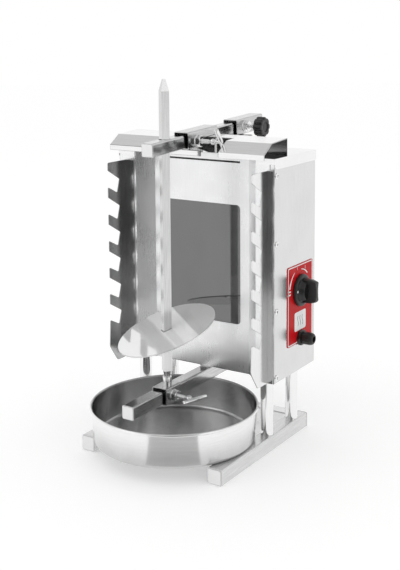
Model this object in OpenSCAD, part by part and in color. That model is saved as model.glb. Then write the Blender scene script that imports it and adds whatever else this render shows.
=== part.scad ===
// Upright electric skewer grill for a table top: a turning skewer in front of
// a radiant heater, skewer racks on both sides and a drip pan underneath.
// Millimetres. X to the right, Y to the rear, Z up, floor at zero.

/* [Rails] */
// Outer size of the square rail tube
rail_size = 30; // [24:1:34]
// Wall of the rail tube
rail_wall = 2; // [1:0.5:3]
// Length of each rail with its caps
rail_length = 330; // [310:5:370]
// Distance between the outer faces of the two rails
track_width = 314; // [310:1:340]
// Thickness of a rail cap outside the tube
rail_cap = 3; // [2:0.5:5]

/* [Columns] */
// Diameter of the four columns
column_d = 25; // [20:1:28]
// Wall of a column
column_wall = 1.5; // [1:0.5:3]
// Free height of the columns
column_rise = 113; // [108:1:140]
// Distance from the rail fronts to the front columns
column_y = 190; // [186:1:205]
// Distance between front and rear columns
column_pitch = 99; // [90:1:110]

/* [Body] */
// Width over the side panels
body_w = 350; // [344:2:380]
// Depth of the body
body_d = 163; // [150:1:180]
// Height of the body
body_h = 422; // [410:2:450]
// Thickness of the body sheet
sheet = 1.5; // [1:0.1:2]
// Width of each flat strip at the front corners
face_w = 39.5; // [36:0.5:44]
// Width of each slanted wing beside the window
wing_w = 28.5; // [22:0.5:34]
// Depth of the recess in the front
recess_d = 25; // [15:1:30]
// Width of the flanges folded inward
flange_w = 20; // [16:1:24]
// Height of the slot above the window
slot_h = 3.5; // [2:0.5:6]
// Distance from the top of the body to that slot
slot_drop = 13; // [9:0.5:16]

/* [Window] */
// Width of the window opening
window_w = 176; // [150:2:190]
// Height of the window opening
window_h = 231.5; // [200:0.5:240]
// Height of the opening above the bottom of the body
window_rise = 94; // [80:1:110]
// Corner radius of the opening
window_r = 8; // [3:1:15]
// Thickness of the glass
glass_t = 4; // [3:0.5:5]
// How far the glass reaches past the opening
glass_lap = 6; // [4:0.5:8]

/* [Heater] */
// Depth of the reflector tray
tray_d = 45; // [36:1:60]
// Number of heating tubes
tube_count = 6; // [3:1:8]
// Diameter of a heating tube
tube_d = 10; // [8:0.5:14]
// Thickness of the insulation board
board_t = 12; // [8:1:20]

/* [Cover] */
// Depth of the rim folded down from the cover
rim_h = 20; // [14:1:22]
// Radius of the lower front corner of the rim
rim_r = 9; // [3:1:12]
// Head diameter of the side screws
screw_head = 12; // [10:0.5:14]
// Shank diameter of the side screws
screw_d = 6; // [4:0.5:7]
// Number of screws on each side
screw_count = 4; // [3:1:5]
// Distance between the side screws
screw_pitch = 126.7; // [90:0.1:127]
// Distance from the lowest screw to the bottom of the body
screw_rise = 9.5; // [8:0.5:12]
// Distance from the screws to the front edge of the side panel
screw_inset = 8.5; // [7.5:0.5:10]

/* [Hood] */
// Width of the hood
hood_w = 345; // [330:1:350]
// How far the lip stands in front of the body
hood_reach = 33.5; // [28:0.5:36]
// Height of the lip
lip_h = 10; // [8:0.5:14]
// Depth of the slanted face
slant_d = 28.3; // [24:0.1:32]
// Rise of the slanted face
slant_h = 18.5; // [15:0.5:22]
// Depth of the top face
top_d = 59.4; // [50:0.1:70]
// Rise of the top face towards the rear
top_rise = 4.2; // [3:0.1:6]
// Gap between the hood and what passes through it
hood_gap = 1.5; // [1:0.1:3]

/* [Racks] */
// Distance from the side of the body to each rack blade
rack_inset = 14.5; // [14:0.5:25]
// Thickness of a rack
rack_t = 1.5; // [1:0.1:2]
// How far the tooth tips stand in front of the body
rack_reach = 58; // [48:1:64]
// Number of notches
notch_count = 6; // [3:1:6]
// Distance between the notches
notch_pitch = 53; // [46:1:53]
// Height of the plain strip above the first notch
rack_top = 15.5; // [12:0.5:20]
// Height of the mouth of a notch
notch_mouth = 32.4; // [28:0.1:36]
// Depth of the upper edge of a notch
notch_depth = 36; // [30:1:38]
// Fall of the upper edge of a notch
notch_fall = 20.3; // [16:0.1:22]
// Depth of the lower edge of a notch
hook_depth = 28.5; // [24:0.5:30]
// Fall of the lower edge of a notch
hook_fall = 14; // [10:0.5:16]
// Corner radius of the teeth
tooth_r = 2; // [1:0.5:3]
// How far the foot of the rack stands in front of the tips
nose = 3; // [0:0.5:6]
// Height of the slanted foot
foot_h = 34; // [28:1:50]
// Depth of the slanted foot
foot_d = 24; // [18:1:34]
// Width of the left rack's flange
left_flange = 20; // [14:1:22]
// Width of the right rack's flange
right_flange = 11.5; // [8:0.5:13]
// Gap between the rack and the rim of the cover
rack_gap = 2.5; // [1:0.5:5]

/* [Arms] */
// Outer size of both square arms
arm_size = 25; // [22:1:26]
// Wall of the arms
arm_wall = 1.5; // [1:0.1:2]
// Distance from the skewer axis to the front end of the upper arm
arm_nose = 54; // [40:1:70]
// Length of the upper arm
upper_length = 377; // [340:1:380]
// Height of the upper arm's front end above the body
upper_rise = 20.8; // [20:0.1:26]
// Slope of the upper arm in degrees
arm_slope = 2.86; // [1:0.01:3.5]
// Length of the lower arm
lower_length = 362; // [340:1:370]
// Distance from the skewer axis to the front end of the lower arm
lower_nose = 124; // [110:1:140]
// Gap between the lower arm and the body
lower_gap = 6.5; // [4:0.5:10]
// Thickness of the arm caps outside the tube
arm_cap = 2; // [1:0.5:4]

/* [Sleeves] */
// Outer size of the sleeves round the arms
sleeve_size = 32; // [32:0.5:34]
// Wall of the sleeves
sleeve_wall = 1.5; // [1:0.1:1.8]
// Length of the two upper sleeves
sleeve_length = 101.5; // [90:0.5:110]
// Distance from the skewer axis to the front sleeve
sleeve_y = 52.5; // [48:0.5:60]
// Distance between the fronts of the two upper sleeves
sleeve_pitch = 175.5; // [160:0.5:185]
// Length of the lower sleeve
carriage_length = 46; // [40:1:50]
// Distance from the front of the lower sleeve to the skewer axis
carriage_inset = 28.5; // [24:0.5:32]
// Distance from the front of an upper sleeve to its screw
nut_inset = 30.5; // [26:0.5:34]
// Width across the flats of the nuts
nut_size = 19; // [16:1:21]
// Thickness of the nuts
nut_t = 10; // [7:0.5:10]
// How far the upper T screw lies below the middle of its arm
t_drop = 2; // [0:0.5:3]

/* [Clamp screws] */
// Diameter of the clamp screws
clamp_d = 10; // [8:0.5:10]
// Distance from the middle to the ball on a T screw
ball_x = 52; // [46:0.5:56]
// Diameter of that ball
ball_d = 11.5; // [10.5:0.5:13]
// Distance from the middle to the cross bar of the upper T screw
upper_bar_x = 70; // [64:0.5:74]
// Diameter of the upper cross bar
upper_bar_d = 9; // [7:0.5:9]
// Length of the upper cross bar
upper_bar = 62; // [50:1:62]
// Turn of the upper cross bar from upright in degrees
upper_bar_turn = 34; // [0:1:60]
// Distance from the middle to the cross bar of the lower T screw
lower_bar_x = 65; // [62:0.5:72]
// Diameter of the lower cross bar
lower_bar_d = 8; // [7:0.5:9]
// Length of the lower cross bar
lower_bar = 74; // [50:1:76]
// Turn of the lower cross bar from level in degrees
lower_bar_turn = 8; // [-20:1:20]
// Diameter of the star knob
star_d = 40; // [34:1:44]
// Thickness of the star knob
star_t = 20; // [16:1:24]
// Distance from the middle to the inner face of the star knob
star_x = 45; // [40:1:50]
// Number of lobes on the star knob
star_lobes = 8; // [6:1:10]

/* [Skewer] */
// Distance from the rail fronts to the skewer axis
skewer_y = 62.5; // [58:0.5:66]
// Side of the square skewer
skewer_size = 15; // [12:0.5:15]
// Height of the skewer tip above the floor
skewer_top = 710; // [680:1:740]
// Length of the pointed tip
skewer_tip = 22; // [14:1:30]
// Turn of the skewer about its axis in degrees
skewer_turn = -35.4; // [-45:0.1:45]
// Height of the square shoulder above the cup
shoulder_rise = 11.5; // [8:0.5:16]
// Outer diameter of the cup
cup_d = 17; // [15:0.5:20]
// Height of the cup
cup_h = 13.5; // [10:0.5:18]
// Diameter of the bore in the cup
cup_bore = 11; // [9:0.5:12]
// Thickness of the cup floor
cup_floor = 2; // [1:0.5:4]

/* [Meat disc] */
// Diameter of the disc
disc_d = 192; // [150:1:194]
// Thickness of the disc
disc_t = 2; // [1.5:0.1:3]
// Tilt of the disc in degrees
disc_tilt = 20.4; // [10:0.1:21]
// Height of the disc above the floor
disc_z = 245; // [235:1:300]
// Play of the skewer in the square hole
disc_play = 2.4; // [2.2:0.1:3]

/* [Drip pan] */
// Radius over the rim
pan_r = 161; // [140:0.5:161]
// Radius of the flat bottom with its curve
pan_foot_r = 153; // [130:0.5:155]
// Height of the pan
pan_h = 68; // [50:1:70]
// Distance from the rail fronts to the middle of the pan
pan_y = 85; // [80:1:86]
// Sheet thickness of the pan
pan_t = 1.5; // [1:0.1:2]
// Diameter of the rolled rim
pan_bead = 5; // [4:0.5:6]
// Radius between bottom and wall
pan_bend = 8; // [4:1:12]

/* [Controls] */
// Depth of the control plate along the body
plate_w = 102; // [90:1:110]
// Height of the control plate
plate_h = 154.5; // [140:0.5:170]
// Thickness of the control plate
plate_t = 1.2; // [1:0.1:2]
// Height of the plate above the bottom of the body
plate_rise = 55; // [40:1:70]
// Distance from the front of the body to the plate
plate_inset = 50; // [40:1:54]
// Height of the knob axis above the plate's lower edge
knob_rise = 103; // [96:1:110]
// Diameter of the knob's skirt
knob_d = 62; // [50:1:64]
// Thickness of the knob's skirt
knob_skirt = 8; // [5:0.5:12]
// Height of the knob above the plate
knob_h = 36; // [28:1:40]
// Thickness of the knob's grip
grip_t = 14; // [10:0.5:16]
// Length of the knob's grip
grip_l = 40; // [34:1:44]
// Diameter of the knob's shaft
shaft_d = 6; // [5:0.5:8]
// Height of the gland axis above the plate's lower edge
gland_rise = 9.5; // [9.2:0.1:16]
// Width across the flats of the gland
gland_size = 27; // [24:1:30]
// How far the gland stands out of the plate
gland_out = 30; // [24:1:36]
// Bore of the gland
gland_bore = 10; // [8:0.5:12]

/* [Hidden] */
// Running gap of a turning fit
fit = 0.05;
// Running gap of a sliding fit
slide_gap = 0.1;
// Gap left between a clamp screw and its arm
touch = 0.2;
// Free gap round a shaft that only passes through
free = 0.5;
// Overrun of every cut
over = 5;
// Corner radii of tubes and plates
tube_r = 3;
plate_r = 4;
$fn = 48;

// Levels and places worked out from the driving sizes
rail_x = (track_width - rail_size) / 2;
rear_column_y = column_y + column_pitch;
body_y = column_y + (column_pitch - body_d) / 2;
rear_y = body_y + body_d;
body_z = rail_size + column_rise;
body_top = body_z + body_h;
side_x = body_w / 2;
inner_x = side_x - sheet;
face_x = side_x - face_w;
wing_x = face_x - wing_w;
panel_y = body_y + recess_d;
panel_z = body_z + sheet;
panel_h = body_h - 2 * sheet;
window_z = body_z + window_rise;
glass_y = panel_y + sheet;
tray_y = glass_y + glass_t;
tray_x = window_w / 2 + glass_lap;
tray_z = window_z - glass_lap;
tray_h = window_h + 2 * glass_lap;
hood_y = body_y - hood_reach;
ridge_y = hood_y + slant_d;
crest_y = ridge_y + top_d;
rack_x = side_x - rack_inset;
rack_z = body_top - rim_h - rack_gap;
rack_h = rack_z - body_z;
tip_y = body_y - rack_reach;
sleeve_inner = sleeve_size - 2 * sleeve_wall;
sleeve_shift = (sleeve_inner - arm_size) / 2 - slide_gap;
sleeve_face = sleeve_shift + sleeve_size / 2;
upper_y = skewer_y - arm_nose;
upper_z = body_top + upper_rise;
front_sleeve_y = (sleeve_y + arm_nose) / cos(arm_slope);
rear_sleeve_y = front_sleeve_y + sleeve_pitch / cos(arm_slope);
lower_y = skewer_y - lower_nose;
lower_z = body_z - lower_gap - arm_size / 2;
carriage_y = skewer_y - carriage_inset;
carriage_nut_y = carriage_y + carriage_length / 2;
cup_z = lower_z + sleeve_shift + sleeve_size / 2;
shoulder_z = cup_z + cup_h + shoulder_rise;
plate_y = body_y + plate_inset;
plate_z = body_z + plate_rise;
plate_x = side_x + plate_t;
knob_y = plate_y + plate_w / 2;
knob_z = plate_z + knob_rise;
gland_z = plate_z + gland_rise;

// The origin lies under the middle of the whole object
mid_x = (plate_x + knob_h - side_x - sheet) / 2;
sleeve_end_y = upper_y + (rear_sleeve_y + sleeve_length) * cos(arm_slope)
    - (sleeve_shift - sleeve_size / 2) * sin(arm_slope);
mid_y = (min(lower_y, pan_y - pan_r) + sleeve_end_y) / 2;

// Geometry helpers

function unit(v) = v / norm(v);
function left_of(v) = [-v[1], v[0]] / norm(v);

// Direction in which a bend of a path moves when the path gets thicker
function mitre(p, i) =
    let (last = len(p) - 1)
    i == 0 ? left_of(p[1] - p[0]) :
    i == last ? left_of(p[last] - p[last - 1]) :
    let (a = left_of(p[i] - p[i - 1]), b = left_of(p[i + 1] - p[i]))
    (a + b) / (1 + a * b);

// Outline of a folded sheet: the path and the same path one thickness away
function folded(p, t) =
    concat(p, [for (i = [len(p) - 1 : -1 : 0]) p[i] + t * mitre(p, i)]);

// Outline with its corners rounded by the radii in r
function rounded(p, r, steps = 5) = [
    for (i = [0 : len(p) - 1])
        let (
            u = unit(p[(i + len(p) - 1) % len(p)] - p[i]),
            v = unit(p[(i + 1) % len(p)] - p[i]),
            half = acos(u * v) / 2,
            centre = p[i] + unit(u + v) * r[i] / sin(half),
            start = p[i] + u * r[i] / tan(half),
            stop = p[i] + v * r[i] / tan(half)
        )
        each r[i] == 0 ? [p[i]] : [
            for (k = [0 : steps])
                centre + r[i] * unit(start + (stop - start) * k / steps - centre)
        ]
];

function box_outline(w, h) =
    [[-w / 2, -h / 2], [w / 2, -h / 2], [w / 2, h / 2], [-w / 2, h / 2]];

module rounded_box(w, h, r) {
    polygon(rounded(box_outline(w, h), [for (i = [0 : 3]) r]));
}

module in_place() {
    translate([-mid_x, -mid_y, 0]) children();
}

// Outlines drawn in Y and Z and made solid along X
module along_x(start, stop) {
    translate([start, 0, 0])
        rotate([90, 0, 90])
            linear_extrude(height = stop - start) children();
}

// Outlines drawn in X and Z and made solid along Y
module along_y(start, stop) {
    translate([0, stop, 0])
        rotate([90, 0, 0])
            linear_extrude(height = stop - start) children();
}

module rod_x(start, stop, d) {
    translate([start, 0, 0]) rotate([0, 90, 0]) cylinder(d = d, h = stop - start);
}

module square_tube(size, wall) {
    difference() {
        rounded_box(size, size, tube_r);
        rounded_box(size - 2 * wall, size - 2 * wall, tube_r - min(wall, tube_r / 2));
    }
}

// A cap: a plug inside the tube and a plate with an eased edge outside
module tube_cap(size, wall, plate) {
    plug = size - 2 * wall - slide_gap;
    along_y(plate / 3, plate) rounded_box(size, size, tube_r);
    along_y(0, plate / 2) rounded_box(size - plate, size - plate, tube_r);
    along_y(plate / 2, plate + size / 2) rounded_box(plug, plug, tube_r);
}

module at_each_side() {
    for (side = [-1, 1]) scale([side, 1, 1]) children();
}

// Rails and columns

module rail(side) {
    color("gainsboro") in_place()
        translate([side * rail_x, 0, rail_size / 2])
            along_y(rail_cap, rail_length - rail_cap) square_tube(rail_size, rail_wall);
}

module rail_end(side, rear) {
    color("silver") in_place()
        translate([side * rail_x, rear ? rail_length : 0, rail_size / 2])
            mirror([0, rear ? 1 : 0, 0]) tube_cap(rail_size, rail_wall, rail_cap);
}

module cross_tube() {
    color("gainsboro") in_place()
        translate([0, rail_length - rail_size / 2, rail_size / 2])
            along_x(rail_size / 2 - rail_x, rail_x - rail_size / 2)
                square_tube(rail_size, rail_wall);
}

module column(side, y) {
    color("silver") in_place()
        translate([side * rail_x, y, rail_size])
            difference() {
                cylinder(d = column_d, h = column_rise);
                translate([0, 0, -over])
                    cylinder(d = column_d - 2 * column_wall, h = column_rise + 2 * over);
            }
}

// Body

// Front edge of the body in plan, from one side to the other
function front_path(half) = [
    [half, body_y], [face_x, body_y], [wing_x, panel_y],
    [-wing_x, panel_y], [-face_x, body_y], [-half, body_y]
];

module body_plan(half) {
    polygon(concat(front_path(half), [[-half, rear_y], [half, rear_y]]));
}

module base_plate() {
    color("lightgray") in_place()
        translate([0, 0, body_z]) linear_extrude(height = sheet) body_plan(inner_x);
}

// One folded sheet with a return flange at each end, the window and a slot
module front_panel() {
    path = concat(
        [[inner_x, body_y + flange_w]], front_path(inner_x),
        [[-inner_x, body_y + flange_w]]
    );
    color("whitesmoke") in_place()
        difference() {
            translate([0, 0, panel_z])
                linear_extrude(height = panel_h) polygon(folded(path, -sheet));
            translate([0, 0, window_z + window_h / 2])
                along_y(panel_y - over, panel_y + over)
                    rounded_box(window_w, window_h, window_r);
            translate([-window_w / 2, panel_y - over, body_top - slot_drop - slot_h])
                cube([window_w, 2 * over, slot_h]);
            side_screw_holes();
        }
}

module window_glass() {
    color("dimgray") in_place()
        translate([-tray_x, glass_y, tray_z]) cube([2 * tray_x, glass_t, tray_h]);
}

// Folded strips that hold the glass and the tray against the panel
module retainer() {
    path = [
        [wing_x - sheet, glass_y], [tray_x + sheet + slide_gap, glass_y],
        [tray_x + sheet + slide_gap, tray_y + glass_lap]
    ];
    translate([0, 0, tray_z])
        linear_extrude(height = tray_h) polygon(folded(path, -sheet));
}

module left_retainer() {
    color("silver") in_place() mirror([1, 0, 0]) retainer();
}

module right_retainer() {
    color("silver") in_place() retainer();
}

// Reflector tray, open to the glass
module heater_tray() {
    color("silver") in_place()
        difference() {
            translate([-tray_x, tray_y, tray_z]) cube([2 * tray_x, tray_d, tray_h]);
            translate([sheet - tray_x, tray_y - over, tray_z + sheet])
                cube([2 * (tray_x - sheet), tray_d - sheet + over, tray_h - 2 * sheet]);
        }
}

module heating_tubes() {
    pitch = tray_h / tube_count;
    color("sienna") in_place()
        for (i = [0 : tube_count - 1])
            translate([0, tray_y + tray_d / 2, tray_z + (i + 1 / 2) * pitch])
                rod_x(sheet - tray_x, tray_x - sheet, tube_d);
}

module insulation_board() {
    color("beige") in_place()
        translate([-tray_x, tray_y + tray_d, tray_z]) cube([2 * tray_x, board_t, tray_h]);
}

module side_screw_places() {
    for (i = [0 : screw_count - 1])
        translate([0, body_y + screw_inset, body_z + screw_rise + i * screw_pitch]) children();
}

module side_screw_holes() {
    at_each_side()
        side_screw_places()
            rod_x(inner_x - 2 * over, side_x + over, screw_d + 2 * slide_gap);
}

// Round button heads with a shank through panel and flange
module side_screws() {
    head_h = screw_head / 5;
    side_screw_places() {
        rod_x(side_x - 4 * sheet, side_x, screw_d);
        translate([side_x, 0, 0]) rotate([0, 90, 0]) {
            cylinder(d = screw_head, h = head_h / 3);
            translate([0, 0, head_h / 3])
                cylinder(d1 = screw_head, d2 = screw_head * 2 / 3, h = head_h * 2 / 3);
        }
    }
}

module left_screws() {
    color("silver") in_place() mirror([1, 0, 0]) side_screws();
}

module right_screws() {
    color("silver") in_place() side_screws();
}

module side_panel() {
    translate([inner_x, body_y, body_z]) cube([sheet, body_d, body_h - sheet]);
}

module left_side_panel() {
    color("whitesmoke") in_place()
        mirror([1, 0, 0])
            difference() {
                side_panel();
                side_screw_holes();
            }
}

module right_side_panel() {
    color("whitesmoke") in_place()
        difference() {
            side_panel();
            side_screw_holes();
            control_holes();
        }
}

// Rear sheet with rows of air slots
module rear_cover() {
    slot_w = body_w / 8;
    slot_rows = 7;
    slot_step = 3 * slot_h;
    color("lightgray") in_place()
        difference() {
            translate([-inner_x, rear_y - sheet, panel_z])
                cube([2 * inner_x, sheet, panel_h]);
            for (level_share = [1 / 6, 3 / 4], column = [-1, 0, 1], row = [0 : slot_rows - 1])
                translate([
                    column * slot_w * 3 / 2,
                    0,
                    panel_z + panel_h * level_share + row * slot_step
                ])
                    along_y(rear_y - over, rear_y + over)
                        rounded_box(slot_w, slot_h, slot_h / 3);
        }
}

// Cover plate with a rim on both sides, at the rear and on the front strips
module top_cover() {
    rim_z = body_top - rim_h;
    side_rim = rounded(
        [[body_y - sheet, rim_z], [rear_y + sheet, rim_z],
         [rear_y + sheet, body_top], [body_y - sheet, body_top]],
        [rim_r, 0, 0, 0]
    );
    color("gainsboro") in_place() {
        translate([0, 0, body_top - sheet]) linear_extrude(height = sheet) body_plan(side_x);
        at_each_side() {
            along_x(side_x, side_x + sheet) polygon(side_rim);
            translate([face_x + sheet, body_y - sheet, rim_z + rim_r])
                cube([side_x - face_x - sheet, sheet, rim_h - rim_r]);
            translate([face_x + sheet, body_y - sheet, rim_z])
                cube([side_x - face_x - sheet - rim_r, sheet, rim_h]);
        }
        translate([-side_x, rear_y, rim_z]) cube([2 * side_x, sheet, rim_h]);
    }
}

// Hood, in two halves beside the front sleeve

hood_path = [
    [crest_y, body_top], [crest_y, body_top + lip_h + slant_h + top_rise],
    [ridge_y, body_top + lip_h + slant_h], [hood_y, body_top + lip_h], [hood_y, body_top]
];

module hood_sheet(start, stop) {
    along_x(start, stop) polygon(folded(hood_path, sheet));
}

module hood_gap_box(start, stop, front, rear) {
    translate([start, front, body_top - over])
        cube([stop - start, rear - front, lip_h + slant_h + top_rise + 2 * over]);
}

// The left half carries the lip on under the sleeve
module left_hood() {
    tongue = sleeve_face + nut_t + clamp_d;
    color("whitesmoke") in_place()
        difference() {
            hood_sheet(-hood_w / 2, tongue);
            hood_gap_box(
                sleeve_shift - sleeve_size / 2 - hood_gap, tongue + over,
                hood_y + hood_gap, crest_y + over
            );
        }
}

// The right half leaves room for the nut and the swing of the cross bar
module right_hood() {
    swing_x = upper_bar_x + upper_bar_d / 2 + hood_gap;
    swing_y = upper_y + front_sleeve_y + nut_inset + upper_bar / 2 + 2 * hood_gap;
    color("whitesmoke") in_place()
        difference() {
            hood_sheet(sleeve_face + hood_gap, hood_w / 2);
            hood_gap_box(sleeve_face - over, swing_x, hood_y - over, swing_y);
        }
}

// Skewer racks: a blade with hooked notches and a flange on the body's front

function notch(i) = let (top = rack_z - rack_top - i * notch_pitch) [
    [tip_y, top],
    [tip_y + notch_depth, top - notch_fall],
    [tip_y + hook_depth, top - notch_mouth - hook_fall],
    [tip_y, top - notch_mouth]
];

module rack_blade(x) {
    edge = concat(
        [[body_y, rack_z], [tip_y, rack_z]],
        [for (i = [0 : notch_count - 1]) each notch(i)],
        [[tip_y - nose, body_z + foot_h], [tip_y - nose + foot_d, body_z], [body_y, body_z]]
    );
    radii = concat(
        [0, 2 * tooth_r],
        [for (i = [0 : 4 * notch_count - 1]) tooth_r],
        [4 * tooth_r, 4 * tooth_r, 0]
    );
    along_x(x, x + rack_t) polygon(rounded(edge, radii, 3));
}

module rack_flange(x, width) {
    translate([x, body_y - rack_t, body_z]) cube([width, rack_t, rack_h]);
}

module left_rack() {
    color("dimgray") in_place() {
        rack_blade(-rack_x - rack_t / 2);
        rack_flange(-rack_x, left_flange);
    }
}

module right_rack() {
    color("silver") in_place() {
        rack_blade(rack_x - rack_t / 2);
        rack_flange(rack_x, right_flange);
    }
}

// Upper arm, its sleeves and their saddles, in a frame that follows the slope

module arm_frame() {
    translate([0, upper_y, upper_z]) rotate([arm_slope, 0, 0]) children();
}

module sleeve(start, length) {
    translate([sleeve_shift, 0, sleeve_shift])
        along_y(start, start + length) square_tube(sleeve_size, sleeve_wall);
}

module clamp_nut(gap) {
    translate([sleeve_face, 0, 0])
        rotate([0, 90, 0])
            difference() {
                cylinder(d = nut_size / cos(30), h = nut_t, $fn = 6);
                translate([0, 0, -over])
                    cylinder(d = clamp_d + 2 * gap, h = nut_t + 2 * over);
            }
}

module screw_hole() {
    rod_x(0, sleeve_face + over, clamp_d + 2 * free);
}

front_nut_y = front_sleeve_y + nut_inset;
rear_nut_y = rear_sleeve_y + nut_inset;

module front_sleeve() {
    color("gainsboro") in_place() arm_frame()
        difference() {
            sleeve(front_sleeve_y, sleeve_length);
            translate([0, front_nut_y, -t_drop]) screw_hole();
        }
}

module rear_sleeve() {
    color("gainsboro") in_place() arm_frame()
        difference() {
            sleeve(rear_sleeve_y, sleeve_length);
            translate([0, rear_nut_y, sleeve_shift]) screw_hole();
        }
}

module front_nut() {
    color("silver") in_place() arm_frame()
        translate([0, front_nut_y, -t_drop]) clamp_nut(fit);
}

module rear_nut() {
    color("silver") in_place() arm_frame()
        translate([0, rear_nut_y, sleeve_shift]) clamp_nut(fit);
}

// Everything below the underside of the sleeves, less a depth
module under_sleeves(depth) {
    reach = upper_length + sleeve_length;
    arm_frame()
        translate([-side_x, 0, sleeve_shift - sleeve_size / 2 - depth - body_h])
            cube([body_w, reach, body_h]);
}

saddle_t = 2;

// Two cheeks and a top plate between them, leaning forward under the sleeve
module front_saddle() {
    half = sleeve_size / 2 - saddle_t / 2;
    back = crest_y - sheet - hood_gap;
    cheek = [
        [panel_y + saddle_t, body_top], [back, body_top],
        [back, body_top + sleeve_size], [ridge_y - saddle_t, body_top + sleeve_size],
        [ridge_y - saddle_t, body_top + lip_h]
    ];
    color("gainsboro") in_place()
        translate([sleeve_shift, 0, 0])
            difference() {
                intersection() {
                    along_x(-half, half) polygon(cheek);
                    under_sleeves(0);
                }
                intersection() {
                    along_x(saddle_t - half, half - saddle_t) run_through(cheek);
                    under_sleeves(saddle_t);
                }
            }
}

// An outline that runs on to the front, to the rear and downward
module run_through(outline) {
    polygon(outline);
    for (way = [[0, -over], [2 * over, 0], [-2 * over, 0]]) translate(way) polygon(outline);
}

// A trapezoid box without a floor
rear_saddle_d = 40;
rear_saddle_y = rear_y - rear_saddle_d - saddle_t;
rear_saddle_top = 33;
rear_saddle_foot = 43;

module saddle_section(inset) {
    height = 2 * sleeve_size;
    spread = (rear_saddle_foot - rear_saddle_top) * height / (upper_rise + saddle_t);
    foot = rear_saddle_foot - inset;
    polygon([[-foot, 0], [foot, 0], [foot - spread, height], [spread - foot, height]]);
}

module rear_saddle() {
    color("gainsboro") in_place()
        translate([sleeve_shift, 0, 0])
            difference() {
                intersection() {
                    translate([0, 0, body_top])
                        along_y(rear_saddle_y, rear_saddle_y + rear_saddle_d)
                            saddle_section(0);
                    under_sleeves(0);
                }
                intersection() {
                    translate([0, 0, body_top])
                        along_y(rear_saddle_y + saddle_t, rear_saddle_y + rear_saddle_d - saddle_t)
                            saddle_section(saddle_t);
                    under_sleeves(saddle_t);
                }
                translate([-side_x, 0, body_top - over]) cube([body_w, 0, over]);
            }
}

module skewer_bore() {
    across = skewer_size * sqrt(2) + 2 * (free + fit);
    translate([0, skewer_y, body_top - body_h]) cylinder(d = across, h = 2 * body_h);
}

module upper_arm() {
    color("gainsboro") in_place()
        difference() {
            arm_frame()
                along_y(arm_cap, upper_length) square_tube(arm_size, arm_wall);
            skewer_bore();
        }
}

module upper_arm_cap() {
    color("silver") in_place() arm_frame() tube_cap(arm_size, arm_wall, arm_cap);
}

// Threaded shaft with a ball and a cross bar that is turned about the shaft
module t_screw(bar_x, bar_d, bar_length, turn) {
    rod_x(arm_size / 2 + touch, ball_x, clamp_d);
    translate([ball_x, 0, 0]) rotate([0, 90, 0]) sphere(d = ball_d);
    rod_x(ball_x, bar_x, clamp_d * 6 / 10);
    translate([bar_x, 0, 0])
        rotate([turn, 0, 0]) {
            translate([0, 0, -bar_length / 2 + bar_d / 4])
                cylinder(d = bar_d, h = bar_length - bar_d / 2);
            for (end = [-1, 1])
                scale([1, 1, end])
                    translate([0, 0, bar_length / 2 - bar_d / 4])
                        cylinder(d1 = bar_d, d2 = bar_d * 2 / 3, h = bar_d / 4);
        }
}

module upper_t_screw() {
    color("silver") in_place() arm_frame()
        translate([0, front_nut_y, -t_drop])
            t_screw(upper_bar_x, upper_bar_d, upper_bar, upper_bar_turn);
}

// Round knob with finger hollows round its edge
module star_knob() {
    hollow_d = star_d * 3 / 10;
    color("black") in_place() arm_frame()
        translate([0, rear_nut_y, sleeve_shift]) {
            rod_x(arm_size / 2 + touch, star_x + star_t / 4, clamp_d);
            difference() {
                union() {
                    rod_x(star_x + star_t / 5, star_x + star_t, star_d);
                    rod_x(star_x, star_x + star_t / 5, star_d * 6 / 10);
                }
                for (i = [0 : star_lobes - 1])
                    rotate([i * 360 / star_lobes, 0, 0])
                        translate([0, star_d / 2 + hollow_d / 5, 0])
                            rod_x(star_x - over, star_x + star_t + over, hollow_d);
                rod_x(star_x + star_t * 9 / 10, star_x + star_t + over, star_d / 2);
            }
        }
}

// Lower arm with its spacers under the body

module lower_arm() {
    color("gainsboro") in_place()
        translate([0, lower_y, lower_z])
            along_y(arm_cap, lower_length) square_tube(arm_size, arm_wall);
}

module lower_arm_cap() {
    color("silver") in_place()
        translate([0, lower_y, lower_z]) tube_cap(arm_size, arm_wall, arm_cap);
}

module lower_arm_spacers() {
    pad = arm_size;
    color("silver") in_place()
        for (y = [panel_y + pad / 2, lower_y + lower_length - 2 * pad])
            translate([-pad / 2, y, body_z - lower_gap])
                cube([pad, 3 * pad / 2, lower_gap]);
}

// Carriage that carries the skewer on the lower arm

module carriage_sleeve() {
    color("gainsboro") in_place()
        translate([0, 0, lower_z])
            difference() {
                sleeve(carriage_y, carriage_length);
                translate([0, carriage_nut_y, -slide_gap]) screw_hole();
            }
}

module carriage_nut() {
    color("silver") in_place()
        translate([0, carriage_nut_y, lower_z]) clamp_nut(fit);
}

module skewer_cup() {
    color("silver") in_place()
        translate([0, skewer_y, cup_z])
            difference() {
                cylinder(d = cup_d, h = cup_h);
                translate([0, 0, cup_floor]) cylinder(d = cup_bore, h = cup_h);
            }
}

module lower_t_screw() {
    color("silver") in_place()
        translate([0, carriage_nut_y, lower_z])
            t_screw(lower_bar_x, lower_bar_d, lower_bar, 90 - lower_bar_turn);
}

// Either side view of the square bar with its point
module skewer_side() {
    half = skewer_size / 2;
    polygon([
        [-half, shoulder_z], [half, shoulder_z], [half, skewer_top - skewer_tip],
        [half / 3, skewer_top], [-half / 3, skewer_top], [-half, skewer_top - skewer_tip]
    ]);
}

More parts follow.
